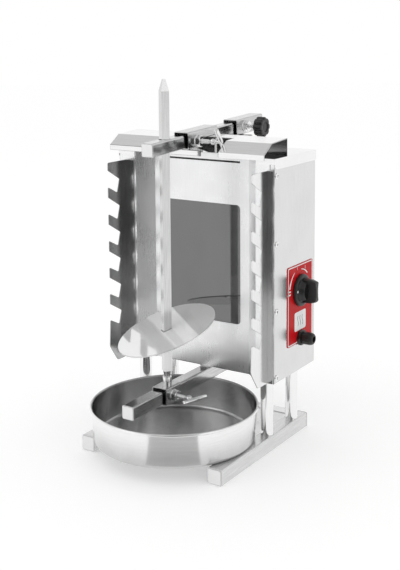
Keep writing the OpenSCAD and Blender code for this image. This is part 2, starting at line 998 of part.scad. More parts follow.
// Square skewer with a pivot below and a four-sided point above
module skewer() {
    pin_d = cup_bore - 4 * fit;
    color("white") in_place()
        translate([0, skewer_y, 0]) {
            translate([0, 0, cup_z + cup_floor])
                cylinder(d = pin_d, h = cup_h + shoulder_rise + skewer_size);
            translate([0, 0, cup_z + cup_h])
                cylinder(d1 = pin_d, d2 = skewer_size - 2 * fit, h = shoulder_rise);
            rotate([0, 0, skewer_turn])
                intersection() {
                    along_x(-skewer_size, skewer_size) skewer_side();
                    along_y(-skewer_size, skewer_size) skewer_side();
                }
        }
}

module meat_disc() {
    hole = skewer_size + disc_play;
    color("white") in_place()
        translate([0, skewer_y, disc_z])
            rotate([0, disc_tilt, skewer_turn - 90])
                translate([0, 0, -disc_t / 2])
                    difference() {
                        cylinder(d = disc_d, h = disc_t, $fn = 96);
                        translate([-hole / 2, -hole / 2, -over])
                            cube([hole, hole, disc_t + 2 * over]);
                    }
}

// Drip pan, turned from one profile, with a rolled rim
module drip_pan() {
    rim_z = pan_h - pan_bead / 2;
    wall_r = pan_r - pan_bead;
    corner = rounded(
        [[0, 0], [pan_foot_r, 0], [wall_r + pan_t, rim_z], [0, rim_z]], [0, pan_bend, 0, 0], 8
    );
    hollow = rounded(
        [[0, pan_t], [pan_foot_r - pan_t, pan_t], [wall_r, rim_z + over], [0, rim_z + over]],
        [0, pan_bend - pan_t, 0, 0], 8
    );
    color("gainsboro") in_place()
        translate([0, pan_y, rail_size])
            rotate_extrude($fn = 96) {
                difference() {
                    polygon(corner);
                    polygon(hollow);
                }
                translate([pan_r - pan_bead / 2, rim_z]) circle(d = pan_bead, $fn = 24);
            }
}

// Controls on the right side

module control_holes() {
    translate([0, knob_y, knob_z])
        rod_x(inner_x - over, plate_x + over, shaft_d + 4 * free);
    translate([0, knob_y, gland_z])
        rod_x(inner_x - over, plate_x + over, gland_thread_d + 2 * slide_gap);
}

module control_plate() {
    color("firebrick") in_place()
        difference() {
            translate([0, plate_y + plate_w / 2, plate_z + plate_h / 2])
                along_x(side_x, plate_x) rounded_box(plate_w, plate_h, plate_r);
            control_holes();
        }
}

// Thermal switch behind the panel, bored for the knob's shaft
regulator_size = 42;
shaft_depth = 14;

module energy_regulator() {
    color("ivory") in_place()
        translate([inner_x, knob_y, knob_z])
            difference() {
                translate([-regulator_size, -regulator_size / 2, -regulator_size / 2])
                    cube(regulator_size);
                rod_x(-shaft_depth - fit, over, shaft_d + 2 * fit);
            }
}

// Knob with a skirt, a raised hub and a waisted grip
module control_knob() {
    hub_h = knob_h / 2;
    gap = slide_gap + fit;
    color("black") in_place()
        translate([plate_x, knob_y, knob_z]) {
            rod_x(-plate_t - sheet - shaft_depth, knob_skirt, shaft_d);
            rod_x(2 * gap, knob_skirt / 2, knob_d);
            translate([knob_skirt / 2, 0, 0]) rotate([0, 90, 0])
                cylinder(d1 = knob_d, d2 = knob_d * 7 / 8, h = knob_skirt / 2);
            rod_x(knob_skirt, hub_h, grip_l);
            along_x(hub_h, knob_h)
                difference() {
                    intersection() {
                        circle(d = grip_l);
                        square([grip_t, grip_l], center = true);
                    }
                    for (side = [-1, 1])
                        translate([side * (grip_t / 2 + grip_l * 7 / 8), 0])
                            circle(r = grip_l * 15 / 16);
                }
        }
}

gland_thread_d = 20;
gland_nut_t = 5;

module cable_gland() {
    hex_h = gland_out / 4;
    dome_d = gland_size * 9 / 10;
    color("black") in_place()
        translate([plate_x, knob_y, gland_z])
            difference() {
                union() {
                    rod_x(-plate_t - sheet - 2 * gland_nut_t, 0, gland_thread_d);
                    rotate([0, 90, 0])
                        cylinder(d = gland_size / cos(30), h = hex_h, $fn = 6);
                    rod_x(hex_h, gland_out * 2 / 3, dome_d);
                    translate([gland_out * 2 / 3, 0, 0]) rotate([0, 90, 0])
                        cylinder(d1 = dome_d, d2 = gland_bore * 3 / 2, h = gland_out / 3);
                }
                rod_x(-2 * gland_out, 2 * gland_out, gland_bore);
            }
}

module gland_nut() {
    color("black") in_place()
        translate([inner_x - gland_nut_t, knob_y, gland_z])
            rotate([0, 90, 0])
                difference() {
                    cylinder(d = gland_size / cos(30), h = gland_nut_t, $fn = 6);
                    translate([0, 0, -over])
                        cylinder(d = gland_thread_d + 2 * fit, h = gland_nut_t + 2 * over);
                }
}

// Block with screw wells for the supply wires
terminal_pitch = 15;
terminal_count = 5;
terminal_d = 24;

module terminal_block() {
    color("ivory") in_place()
        translate([
            wing_x - terminal_count * terminal_pitch,
            rear_y - sheet - 2 * terminal_d,
            panel_z
        ])
            difference() {
                cube([terminal_count * terminal_pitch, terminal_d, terminal_pitch]);
                for (i = [0 : terminal_count - 1], side = [1, 3])
                    translate([
                        (i + 1 / 2) * terminal_pitch,
                        side * terminal_d / 4,
                        terminal_pitch / 2
                    ])
                        cylinder(d = terminal_pitch / 2, h = terminal_pitch);
            }
}

rail(-1);  // left_rail
rail(1);  // right_rail
rail_end(-1, false);  // front_left_cap
rail_end(1, false);  // front_right_cap
rail_end(-1, true);  // rear_left_cap
rail_end(1, true);  // rear_right_cap
cross_tube();
column(-1, column_y);  // front_left_column
column(1, column_y);  // front_right_column
column(-1, rear_column_y);  // rear_left_column
column(1, rear_column_y);  // rear_right_column
base_plate();
front_panel();
window_glass();
left_retainer();
right_retainer();
heater_tray();
heating_tubes();
insulation_board();
left_side_panel();
right_side_panel();
rear_cover();
top_cover();
left_screws();
right_screws();
left_hood();
right_hood();
left_rack();
right_rack();
front_saddle();
rear_saddle();
front_sleeve();
rear_sleeve();
front_nut();
rear_nut();
lower_arm();
lower_arm_cap();
lower_arm_spacers();
control_plate();
energy_regulator();
cable_gland();
gland_nut();
terminal_block();
upper_arm();
upper_arm_cap();
upper_t_screw();
star_knob();
carriage_sleeve();
carriage_nut();
skewer_cup();
lower_t_screw();
skewer();
meat_disc();
drip_pan();
control_knob();
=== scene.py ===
"""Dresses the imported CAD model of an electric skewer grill.

Lengths are in metres and in the model's own frame: X to the right, Y to the rear, Z up and the
floor at zero. Each sub-assembly is a class with its sizes as fields. Pieces that the CAD model holds
keep their shape and get a finish, and small turned, threaded and printed pieces are built here in
finer detail.
"""

import logging
import math
from dataclasses import dataclass
from enum import Enum
from typing import Callable, ClassVar

import bmesh
import bpy
from mathutils import Matrix, Vector


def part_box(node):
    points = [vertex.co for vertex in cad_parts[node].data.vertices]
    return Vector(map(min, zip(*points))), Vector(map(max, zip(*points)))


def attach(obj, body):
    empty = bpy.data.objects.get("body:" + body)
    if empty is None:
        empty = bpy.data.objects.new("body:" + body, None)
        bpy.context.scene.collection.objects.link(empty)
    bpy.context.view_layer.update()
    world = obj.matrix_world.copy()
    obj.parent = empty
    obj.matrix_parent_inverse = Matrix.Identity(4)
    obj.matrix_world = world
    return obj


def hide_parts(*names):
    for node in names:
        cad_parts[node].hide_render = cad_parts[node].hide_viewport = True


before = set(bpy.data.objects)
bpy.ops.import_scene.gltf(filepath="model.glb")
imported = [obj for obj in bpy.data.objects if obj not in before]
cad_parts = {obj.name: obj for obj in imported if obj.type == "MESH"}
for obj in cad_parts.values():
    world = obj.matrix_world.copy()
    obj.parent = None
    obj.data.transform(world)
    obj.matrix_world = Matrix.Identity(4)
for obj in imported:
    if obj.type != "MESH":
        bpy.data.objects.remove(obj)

log = logging.getLogger("skewer_grill")

MM = 0.001

# Most values of a noise lie in this range.
NOISE_RANGE = (0.3, 0.7)
# Numbers of the colour sockets of Blender's Mix node.
MIX_FIRST, MIX_SECOND, MIX_RESULT = 6, 7, 2
# Corners of a CAD mesh that are nearer than this are one.
JOIN_GAP = 0.01 * MM
# Degrees above which the edge of a sheet or tube is eased.
FOLD_ANGLE = 40.0

Colour = tuple[float, float, float]
Point = tuple[float, float, float]
Outline = list[tuple[float, float]]
Ring = list[Vector]
Socket = bpy.types.NodeSocket
# Input name of a shader, with the value or the socket that feeds it.
Feeds = dict[str, Socket | Colour | float]
# Takes a profile's radius and height and an angle, and gives the real radius there.
RadiusRule = Callable[[float, float, float], float]


class Grain(Enum):
    """Direction in which a steel surface was brushed."""

    PLAIN = "plain"
    ALONG_X = "along_x"
    ALONG_Y = "along_y"
    ALONG_Z = "along_z"
    ROUND_Z = "round_z"


class Ends(Enum):
    """What happens at the ends of a row of rings."""

    CAPPED = "capped"
    FIRST_CAPPED = "first_capped"
    OPEN = "open"
    JOINED = "joined"


class NodeSheet:
    """The node tree of a material or of the world, filled one node at a time."""

    def __init__(self, owner: bpy.types.Material | bpy.types.World) -> None:
        """Gives the owner an empty node tree.

        Args:
            owner: the material or the world.
        """
        owner.use_nodes = True
        self.owner = owner
        self.tree = owner.node_tree
        self.tree.nodes.clear()

    def add(self, kind: str, inputs: dict | None = None, **settings: object) -> bpy.types.Node:
        """Adds a node.

        Args:
            kind: the node's type name in Blender.
            inputs: socket name or number, with the value or the output socket that feeds it.
            settings: attributes of the node.

        Returns:
            The new node.
        """
        node = self.tree.nodes.new(kind)
        for key, value in settings.items():
            setattr(node, key, value)
        for key, value in (inputs or {}).items():
            socket = node.inputs[key]
            if isinstance(value, Socket):
                self.tree.links.new(value, socket)
            else:
                socket.default_value = (*value, 1.0) if socket.type == "RGBA" else value
        return node

    def glow(self, strength: Socket | float) -> bpy.types.Node:
        """Adds a shader that gives off white light."""
        return self.add("ShaderNodeEmission", {"Strength": strength})

    def show(self, shader: bpy.types.Node, output: str = "ShaderNodeOutputMaterial") -> None:
        """Sends a shader to the tree's output."""
        self.add(output, {0: shader.outputs[0]})

    def here(self) -> Socket:
        """Returns the shaded point in the model's frame."""
        return self.add("ShaderNodeTexCoord").outputs["Object"]

    def facing(self) -> Socket:
        """Returns the direction that the surface faces."""
        return self.add("ShaderNodeTexCoord").outputs["Normal"]

    def split(self, vector: Socket) -> list[Socket]:
        """Returns the three parts of a vector."""
        return list(self.add("ShaderNodeSeparateXYZ", {0: vector}).outputs)

    def maths(self, operation: str, *values: Socket | float) -> Socket:
        """Adds a Math node for one operation on up to three values and returns its result."""
        return self.add("ShaderNodeMath", dict(enumerate(values)), operation=operation).outputs[0]

    def vector(self, operation: str, *values: Socket | Point) -> Socket:
        """Adds a Vector Math node for one operation on two vectors and returns its result."""
        node = self.add("ShaderNodeVectorMath", dict(enumerate(values)), operation=operation)
        return node.outputs["Value"] if operation in ("DOT_PRODUCT", "LENGTH") else node.outputs[0]

    def ramp(self, value: Socket, low: float, high: float, first: float, last: float) -> Socket:
        """Maps a value smoothly from low..high to first..last and returns the result."""
        inputs = {0: value, 1: low, 2: high, 3: first, 4: last}
        return self.add("ShaderNodeMapRange", inputs, interpolation_type="SMOOTHSTEP").outputs[0]

    def uneven(self, noise: Socket, level: float, share: float) -> Socket:
        """Lets a level follow a noise up and down by a share of itself, and returns it."""
        return self.ramp(noise, *NOISE_RANGE, level * (1 - share), level * (1 + share))

    def blend(self, share: Socket, first: Socket | Colour, second: Socket | Colour) -> Socket:
        """Mixes two colours by share and returns the result."""
        inputs = {"Factor": share, MIX_FIRST: first, MIX_SECOND: second}
        return self.add("ShaderNodeMix", inputs, data_type="RGBA").outputs[MIX_RESULT]

    def noise(self, vector: Socket, scale: float, detail: float = 2.0, roughness: float = 0.5) -> Socket:
        """Adds a noise texture and returns its grey value."""
        inputs = {"Vector": vector, "Scale": scale, "Detail": detail, "Roughness": roughness}
        return self.add("ShaderNodeTexNoise", inputs).outputs[0]

    def bump(self, height: Socket, strength: float, depth: float) -> Socket:
        """Tilts the surface by the slopes of a height from 0 to depth, and returns the normal."""
        inputs = {"Height": height, "Strength": strength, "Distance": depth}
        return self.add("ShaderNodeBump", inputs).outputs[0]


def grey(level: float) -> Colour:
    """Returns the grey of a level."""
    return (level, level, level)


def darker(colour: Colour, share: float) -> Colour:
    """Returns the colour with each channel multiplied by share and kept under 1."""
    return tuple(min(1.0, c * share) for c in colour)


@dataclass(frozen=True)
class Finish:
    """What every finish has: a name, a colour and a slot for the pieces made of it, which nothing here
    reads.
    """

    name: str
    colour: Colour
    slot: str = ""
    ready: ClassVar[dict[str, bpy.types.Material]] = {}

    def material(self) -> bpy.types.Material:
        """Makes the material at the first call.

        Returns:
            The material, which is the same one at every call.
        """
        if self.name not in self.ready:
            sheet = NodeSheet(bpy.data.materials.new(f"{self.name}_finish"))
            sheet.show(sheet.add("ShaderNodeBsdfPrincipled", self.feeds(sheet)))
            self.ready[self.name] = sheet.owner
        return self.ready[self.name]

    def feeds(self, sheet: NodeSheet) -> Feeds:
        """Builds the nodes that feed the shader; each kind of finish has its own."""
        raise NotImplementedError


@dataclass(frozen=True)
class Steel(Finish):
    """Stainless steel with brushing, faint cloudy marks and a polish."""

    roughness: float = 0.2
    grain: Grain = Grain.ALONG_Z
    grain_share: float = 0.05
    cloud_share: float = 0.05
    cloud_tone: float = 0.6
    scratch_depth: float = 0.01 * MM
    scratch_strength: float = 0.25
    anisotropy: float = 0.4
    centre: Point = (0.0, 0.0, 0.0)
    lines_per_m: float = 1400.0
    line_length: float = 0.05
    round_share: float = 0.15
    clouds_per_m: float = 14.0
    metal_share: float = 1.0

    def along_grain(self, sheet: NodeSheet, place: Socket) -> Socket:
        """Stretches coordinates along the brushing.

        Args:
            sheet: the material's sheet.
            place: the shaded point.

        Returns:
            The stretched coordinates.
        """
        slow, fast = 1 / self.line_length, self.lines_per_m
        if self.grain is not Grain.ROUND_Z:
            scale = {
                Grain.PLAIN: (fast, fast, fast),
                Grain.ALONG_X: (slow, fast, fast),
                Grain.ALONG_Y: (fast, slow, fast),
                Grain.ALONG_Z: (fast, fast, slow),
            }[self.grain]
            return sheet.vector("MULTIPLY", place, scale)
        x, y, z = sheet.split(sheet.vector("SUBTRACT", place, self.centre))
        squares = [sheet.maths("MULTIPLY", part, part) for part in (x, y)]
        around = sheet.maths("MULTIPLY", sheet.maths("ARCTAN2", y, x), self.round_share * slow)
        out = sheet.maths("MULTIPLY", sheet.maths("SQRT", sheet.maths("ADD", *squares)), fast)
        up = sheet.maths("MULTIPLY", z, fast)
        return sheet.add("ShaderNodeCombineXYZ", {0: around, 1: out, 2: up}).outputs[0]

    def feeds(self, sheet: NodeSheet) -> Feeds:
        """Feeds colour, roughness and a fine bump from the brushing and the clouds.

        Args:
            sheet: the material's sheet.

        Returns:
            What goes into each named input of the shader.
        """
        place = sheet.here()
        lines = sheet.noise(self.along_grain(sheet, place), 1.0, detail=3.0, roughness=0.6)
        clouds = sheet.noise(place, self.clouds_per_m, detail=3.0, roughness=0.55)
        dark, light = (darker(self.colour, 1 + side * self.grain_share) for side in (-1, 1))
        tone = sheet.blend(sheet.ramp(lines, *NOISE_RANGE, 0.0, 1.0), dark, light)
        haze = sheet.ramp(clouds, 0.35, 0.65, 0.0, self.cloud_share)
        spread = sheet.ramp(lines, *NOISE_RANGE, -0.02, 0.02)
        feeds = {
            "Base Color": sheet.blend(haze, tone, darker(self.colour, self.cloud_tone)),
            "Roughness": sheet.maths("ADD", sheet.uneven(clouds, self.roughness, 0.12), spread),
            "Normal": sheet.bump(lines, self.scratch_strength, self.scratch_depth),
            "Metallic": self.metal_share,
        }
        if self.grain is not Grain.PLAIN:
            axis = self.grain.value[-1].upper()
            tangent = sheet.add("ShaderNodeTangent", direction_type="RADIAL", axis=axis)
            feeds |= {"Anisotropic": self.anisotropy, "Tangent": tangent.outputs[0]}
        if self.grain is Grain.ROUND_Z:
            feeds["Anisotropic Rotation"] = 0.25
        return feeds


@dataclass(frozen=True)
class PanSteel(Steel):
    """Spun steel whose inside is duller than its wall outside."""

    inner_colour: Colour = grey(0.58)
    inner_radius: float = 157 * MM
    inner_clouds_per_m: float = 30.0

    def feeds(self, sheet: NodeSheet) -> Feeds:
        """Adds a darker tone inside the pan, found by the direction that a surface faces.

        Args:
            sheet: the material's sheet.

        Returns:
            What goes into each named input of the shader.
        """
        feeds = super().feeds(sheet)
        place = sheet.here()
        from_axis = sheet.vector("SUBTRACT", place, self.centre)
        outward = sheet.vector("MULTIPLY", from_axis, (1.0, 1.0, 0.0))
        facing = sheet.vector("DOT_PRODUCT", sheet.vector("NORMALIZE", outward), sheet.facing())
        inward = sheet.ramp(facing, -0.6, 0.2, 1.0, 0.0)
        radius = sheet.vector("LENGTH", outward)
        inside = sheet.ramp(radius, self.inner_radius - 4 * MM, self.inner_radius, 1.0, 0.0)
        clouds = sheet.noise(place, self.inner_clouds_per_m, detail=4.0, roughness=0.6)
        stain = sheet.ramp(clouds, *NOISE_RANGE, 0.0, 0.25)
        inner = sheet.blend(stain, self.inner_colour, darker(self.inner_colour, 0.7))
        share = sheet.maths("MAXIMUM", inward, inside)
        return feeds | {"Base Color": sheet.blend(share, feeds["Base Color"], inner)}


@dataclass(frozen=True)
class HoodSteel(Steel):
    """Folded steel with painted shade on its inner faces."""

    painted_shade_share: float = 0.22
    inside_y: float = 0.0

    def feeds(self, sheet: NodeSheet) -> Feeds:
        """Adds painted shade under the folds and on the front of the rear leg.

        Args:
            sheet: the material's sheet.

        Returns:
            What goes into each named input of the shader.
        """
        feeds = super().feeds(sheet)
        place, facing = sheet.split(sheet.here()), sheet.split(sheet.facing())
        behind = sheet.ramp(place[1], self.inside_y, self.inside_y + 2 * MM, 0.0, 1.0)
        forward = sheet.ramp(facing[1], -0.9, -0.6, 1.0, 0.0)
        down = sheet.ramp(facing[2], -0.5, -0.2, 1.0, 0.0)
        # painted shade: darker where a face looks down, and where it looks forward behind the rear leg's
        # front
        share = sheet.maths("MAXIMUM", sheet.maths("MULTIPLY", behind, forward), down)
        inner = darker(self.colour, self.painted_shade_share)
        return feeds | {"Base Color": sheet.blend(share, feeds["Base Color"], inner)}


@dataclass(frozen=True)
class Plastic(Finish):
    """Moulded plastic with a fine texture, dust in it and a soft gloss."""

    roughness: float = 0.42
    texture_per_m: float = 2500.0
    texture_depth: float = 0.04 * MM
    wear_share: float = 0.3
    wear_tone: float = 0.012

    def feeds(self, sheet: NodeSheet) -> Feeds:
        """Feeds colour, roughness and bump from two sizes of noise.

        Args:
            sheet: the material's sheet.

        Returns:
            What goes into each named input of the shader.
        """
        place = sheet.here()
        broad = sheet.noise(place, 90.0, detail=3.0, roughness=0.6)
        dust = sheet.ramp(broad, 0.35, 0.75, 0.0, self.wear_share)
        texture = sheet.noise(place, self.texture_per_m)
        return {
            "Base Color": sheet.blend(dust, self.colour, tuple(c + self.wear_tone for c in self.colour)),
            "Roughness": sheet.uneven(broad, self.roughness, 0.15),
            "Normal": sheet.bump(texture, strength=0.3, depth=self.texture_depth),
        }


@dataclass(frozen=True)
class Enamel(Finish):
    """A printed, glossy plate under a clear coat."""

    roughness: float = 0.3
    coat: float = 0.6
    coat_roughness: float = 0.05
    gloss: float = 0.14

    def feeds(self, sheet: NodeSheet) -> Feeds:
        """Feeds a slightly uneven print and a faint ripple of the coat.

        Args:
            sheet: the material's sheet.

        Returns:
            What goes into each named input of the shader.
        """
        place = sheet.here()
        broad = sheet.noise(place, 40.0)
        patchy = sheet.ramp(broad, 0.35, 0.65, 0.0, 0.2)
        return {
            "Base Color": sheet.blend(patchy, self.colour, darker(self.colour, 0.8)),
            "Roughness": sheet.uneven(broad, self.roughness, 0.1),
            "Normal": sheet.bump(sheet.noise(place, 400.0), strength=0.1, depth=0.03 * MM),
            "Specular IOR Level": self.gloss,
            "Coat Weight": self.coat,
            "Coat Roughness": self.coat_roughness,
        }


@dataclass(frozen=True)
class MirrorGlass(Finish):
    """Tinted heat-proof glass that mirrors what stands in front of it."""

    roughness: float = 0.05
    metal_share: float = 0.85

    def feeds(self, sheet: NodeSheet) -> Feeds:
        """Feeds a faint smear to the tone and to the roughness.

        Args:
            sheet: the material's sheet.

        Returns:
            What goes into each named input of the shader.
        """
        stretched = sheet.vector("MULTIPLY", sheet.here(), (1.0, 1.0, 0.35))
        smear = sheet.noise(stretched, 16.0, detail=4.0, roughness=0.6)
        share = sheet.ramp(smear, 0.35, 0.7, 0.0, 0.4)
        return {
            "Base Color": sheet.blend(share, self.colour, darker(self.colour, 0.85)),
            "Roughness": sheet.ramp(smear, 0.3, 0.75, self.roughness * 0.7, self.roughness * 1.8),
            "Metallic": self.metal_share,
        }


@dataclass(frozen=True)
class Board(Finish):
    """Pressed mineral fibre."""

    roughness: float = 0.9

    def feeds(self, sheet: NodeSheet) -> Feeds:
        """Feeds short fibres to colour and bump.

        Args:
            sheet: the material's sheet.

        Returns:
            What goes into each named input of the shader.
        """
        stretched = sheet.vector("MULTIPLY", sheet.here(), (1.0, 1.0, 4.0))
        fibres = sheet.noise(stretched, 300.0, detail=4.0, roughness=0.7)
        return {
            "Base Color": sheet.blend(fibres, self.colour, darker(self.colour, 0.7)),
            "Roughness": self.roughness,
            "Normal": sheet.bump(fibres, strength=0.5, depth=0.3 * MM),
        }


def in_scene(name: str, data: bpy.types.ID) -> bpy.types.Object:
    """Puts a mesh, text, lamp or camera into the scene.

    Args:
        name: the object's name.
        data: what the object shows.

    Returns:
        The object.
    """
    made = bpy.data.objects.new(name, data)
    bpy.context.scene.collection.objects.link(made)
    return made


def along_x(origin: Vector) -> Matrix:
    """Returns the matrix that takes local +Z to the model's X and local zero to origin."""
    turn = Vector((0, 0, 1)).rotation_difference(Vector((1, 0, 0)))
    return Matrix.Translation(origin) @ turn.to_matrix().to_4x4()


def in_mm(points: Outline) -> Outline:
    """Returns points that are given in millimetres, in metres."""
    return [(x * MM, y * MM) for x, y in points]


def arc(centre: tuple[float, float], reach: tuple[float, float], start: float, stop: float,
        steps: int) -> Outline:
    """Returns points on an ellipse with half widths reach, from start to stop in degrees."""
    angles = [math.radians(start + (stop - start) * k / steps) for k in range(steps + 1)]
    return [(centre[0] + reach[0] * math.cos(a), centre[1] + reach[1] * math.sin(a)) for a in angles]


def rounded_outline(width: float, height: float, corner: float, steps: int = 6) -> Outline:
    """Draws a rectangle about zero with round corners.

    Args:
        width: size along the first axis.
        height: size along the second axis.
        corner: corner radius.
        steps: steps in each corner.

    Returns:
        Its outline.
    """
    points = []
    for k, (sx, sy) in enumerate(((1, 1), (-1, 1), (-1, -1), (1, -1))):
        centre = (sx * (width / 2 - corner), sy * (height / 2 - corner))
        points += arc(centre, (corner, corner), 90 * k, 90 * (k + 1), steps)
    return points


def hexagon(across: float) -> RadiusRule:
    """Gives a radius rule for a hexagon, cut back to the profile's radius where that is smaller.

    Args:
        across: width across the flats.

    Returns:
        The rule, for Shape.turned.
    """
    def rule(r: float, _height: float, angle: float) -> float:
        """Radius of the hexagon at an angle, or r if that is smaller."""
        folded = (angle + math.pi / 6) % (math.pi / 3) - math.pi / 6
        return min(r, across / 2 / math.cos(folded))
    return rule


def bevel(piece: bpy.types.Object, width: float, segments: int, angle: float) -> None:
    """Eases a piece's edges by a modifier, so that they catch the light as filed edges do.

    Args:
        piece: the piece.
        width: width of the eased edges.
        segments: steps across them.
        angle: angle in degrees above which an edge is eased.
    """
    eased = piece.modifiers.new("eased_edges", "BEVEL")
    eased.width = width
    eased.segments = segments
    eased.limit_method = "ANGLE"
    eased.angle_limit = math.radians(angle)
    eased.harden_normals = True


class Shape:
    """A mesh under construction."""

    def __init__(self, place: Matrix | None = None) -> None:
        """Starts an empty mesh; place takes the points that are added to the model's frame."""
        self.mesh = bmesh.new()
        self.place = place or Matrix.Identity(4)

    def rings(self, rings: list[Ring], ends: Ends = Ends.CAPPED) -> None:
        """Joins closed rings of equal length by quads.

        Args:
            rings: the rings in order, each with the same number of points.
            ends: what happens at the first and last ring.
        """
        made = [[self.mesh.verts.new(self.place @ p) for p in ring] for ring in rings]
        pairs = list(zip(made, made[1:]))
        if ends is Ends.JOINED:
            pairs.append((made[-1], made[0]))
        for low, high in pairs:
            for i in range(len(low)):
                j = (i + 1) % len(low)
                self.mesh.faces.new((low[i], low[j], high[j], high[i]))
        if ends in (Ends.CAPPED, Ends.FIRST_CAPPED):
            self.mesh.faces.new(made[0][::-1])
        if ends is Ends.CAPPED:
            self.mesh.faces.new(made[-1])

    def turned(self, profile: Outline, steps: int = 48, radius: RadiusRule | None = None,
               ends: Ends = Ends.CAPPED) -> None:
        """Turns a profile round local Z.

        Args:
            profile: radius and height of each ring.
            steps: points on a ring.
            radius: gives the real radius from the profile's radius, its height and the angle.
            ends: what happens at the first and last ring.
        """
        angles = [math.tau * i / steps for i in range(steps)]
        rings = []
        for r, h in profile:
            real = [(radius(r, h, a) if radius else r, a) for a in angles]
            rings.append([Vector((out * math.cos(a), out * math.sin(a), h)) for out, a in real])
        self.rings(rings, ends)

    def slab(self, outline: Outline, low: float, high: float) -> None:
        """Raises an outline in local X and Y from low to high."""
        self.rings([[Vector((x, y, z)) for x, y in outline] for z in (low, high)])

    def finish(self, name: str, finish: Finish, body: str, *replaces: str, edge: float = 0.0,
               sharp: float = 35.0) -> None:
        """Turns the mesh into a piece that rides on a body.

        Args:
            name: the piece's name.
            finish: the material.
            body: the CAD body that carries the piece.
            replaces: CAD nodes that the piece stands for.
            edge: width of the eased edges, or 0.
            sharp: angle in degrees above which an edge stays sharp.
        """
        bmesh.ops.recalc_face_normals(self.mesh, faces=self.mesh.faces)
        data = bpy.data.meshes.new(name)
        self.mesh.to_mesh(data)
        self.mesh.free()
        data.shade_smooth()
        data.set_sharp_from_angle(angle=math.radians(sharp))
        data.materials.append(finish.material())
        piece = in_scene(name, data)
        if edge:
            bevel(piece, edge, 3, sharp)
        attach(piece, body)
        if replaces:
            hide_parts(*replaces)
        log.info("piece %s on %s", name, body)


def dress(finish: Finish, *nodes: str, edge: float = 0.0, cut: Finish | None = None) -> None:
    """Gives CAD nodes their finish.

    Args:
        finish: the material.
        nodes: names of the nodes.
        edge: width of the eased edges, or 0.
        cut: the material of the eased edges, where it differs; the dark edge material paints shade along
            the edges.
    """
    for name in nodes:
        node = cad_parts[name]
        if not node.data.materials:
            node.data.materials.append(None)
        for slot in node.material_slots:
            slot.link = "OBJECT"
            slot.material = finish.material()
        if edge:
            joined = node.modifiers.new("joined_corners", "WELD")
            joined.merge_threshold = JOIN_GAP
            bevel(node, edge, 2, FOLD_ANGLE)
        # painted shade: the eased edges can take a dark material of their own
        if cut:
            node.data.materials.append(cut.material())
            node.modifiers["eased_edges"].material = len(node.material_slots) - 1
        log.info("node %s in %s", name, finish.name)


@dataclass(frozen=True)
class Span:
    """The box of a CAD node."""

    low: Vector
    high: Vector

    @classmethod
    def of(cls, node: str) -> "Span":
        """Reads the box of a node from the frame."""
        low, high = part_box(node)
        return cls(Vector(low), Vector(high))

    @property
    def centre(self) -> Vector:
        """Middle of the box."""
        return (self.low + self.high) / 2

    @property
    def size(self) -> Vector:
        """Lengths of the box's sides."""
        return self.high - self.low

    def at_x(self, x: float) -> Vector:
        """Returns the point at x on the box's middle line along X."""
        return Vector((x, self.centre.y, self.centre.z))


SHEET = Steel("body_sheet", grey(0.74), roughness=0.23)
FRONT = Steel("front_sheet", (0.9, 0.9, 0.905), roughness=0.3, grain_share=0.025,
              scratch_depth=0.004 * MM)
COVER = Steel("cover_sheet", grey(0.9), grain=Grain.ALONG_X)
RACK = Steel("rack_sheet", grey(0.84), roughness=0.15)
# A darker copy of the rack steel for the left rack: painted shade on its inner face.
PAINTED_SHADE_RACK = Steel("painted_shade_rack_sheet", grey(0.5))
TUBE = Steel("tube_steel", grey(0.72), roughness=0.22, grain=Grain.ALONG_Y, grain_share=0.12,
             metal_share=0.72)
CROSS = Steel("cross_tube_steel", grey(0.8), roughness=0.24, grain=Grain.ALONG_X)
CAP = Steel("cap_steel", grey(0.88), roughness=0.18, grain=Grain.PLAIN, grain_share=0.02, metal_share=0.5)
CHROME = Steel("column_chrome", grey(0.9), roughness=0.07, grain_share=0.02, anisotropy=0.1)
ARM = Steel("arm_steel", grey(0.62), roughness=0.16, grain=Grain.ALONG_Y, grain_share=0.2)
SLEEVE = Steel("sleeve_steel", grey(0.58), grain=Grain.ALONG_Y, grain_share=0.2)
BOLT = Steel("bolt_steel", grey(0.85), "bolts", roughness=0.1, grain=Grain.PLAIN, grain_share=0.03)
SPIT = Steel("skewer_steel", grey(0.68), roughness=0.22, grain_share=0.12)
# Near-black steel for the eased edges of sheets, caps and the disc: painted shade and painted dark
# reflection along the edges.
PAINTED_EDGE_SHADE = Steel("painted_edge_shade_steel", grey(0.12), roughness=0.3, grain=Grain.PLAIN)
MIRROR = Steel("disc_steel", grey(0.95), roughness=0.07, grain=Grain.PLAIN, grain_share=0.01,
               cloud_share=0.02, metal_share=0.4)
GLASS = MirrorGlass("window_glass", grey(0.2))
BLACK = Plastic("black_plastic", (0.009, 0.0085, 0.0085), "black_plastic", roughness=0.36)
PALE = Plastic("pale_plastic", (0.7, 0.68, 0.6), roughness=0.5)
RED = Enamel("red_plate", (0.56, 0.004, 0.008), roughness=0.42, coat=0.03)
PRINT = Enamel("white_print", grey(0.9), "pale_plastic", coat=0.2)
GREY_PRINT = Enamel("grey_print", (0.12, 0.12, 0.13), "black_plastic", coat=0.1)
HEATER = Steel("heater_tube", (0.16, 0.14, 0.13), roughness=0.5, grain=Grain.PLAIN, grain_share=0.2)
FIBRE = Board("insulation_board", (0.72, 0.69, 0.6))


@dataclass(frozen=True)
class Undercarriage:
    """Rails, their caps, the cross tube and the columns."""

    def build(self) -> None:
        """Dresses the tubes that the grill stands on."""
        dress(TUBE, "left_rail", "right_rail", edge=1.2 * MM)
        dress(CROSS, "cross_tube")
        ends = [f"{place}_{side}" for place in ("front", "rear") for side in ("left", "right")]
        dress(CAP, *[f"{end}_cap" for end in ends], edge=0.6 * MM, cut=PAINTED_EDGE_SHADE)
        dress(CHROME, *[f"{end}_column" for end in ends])


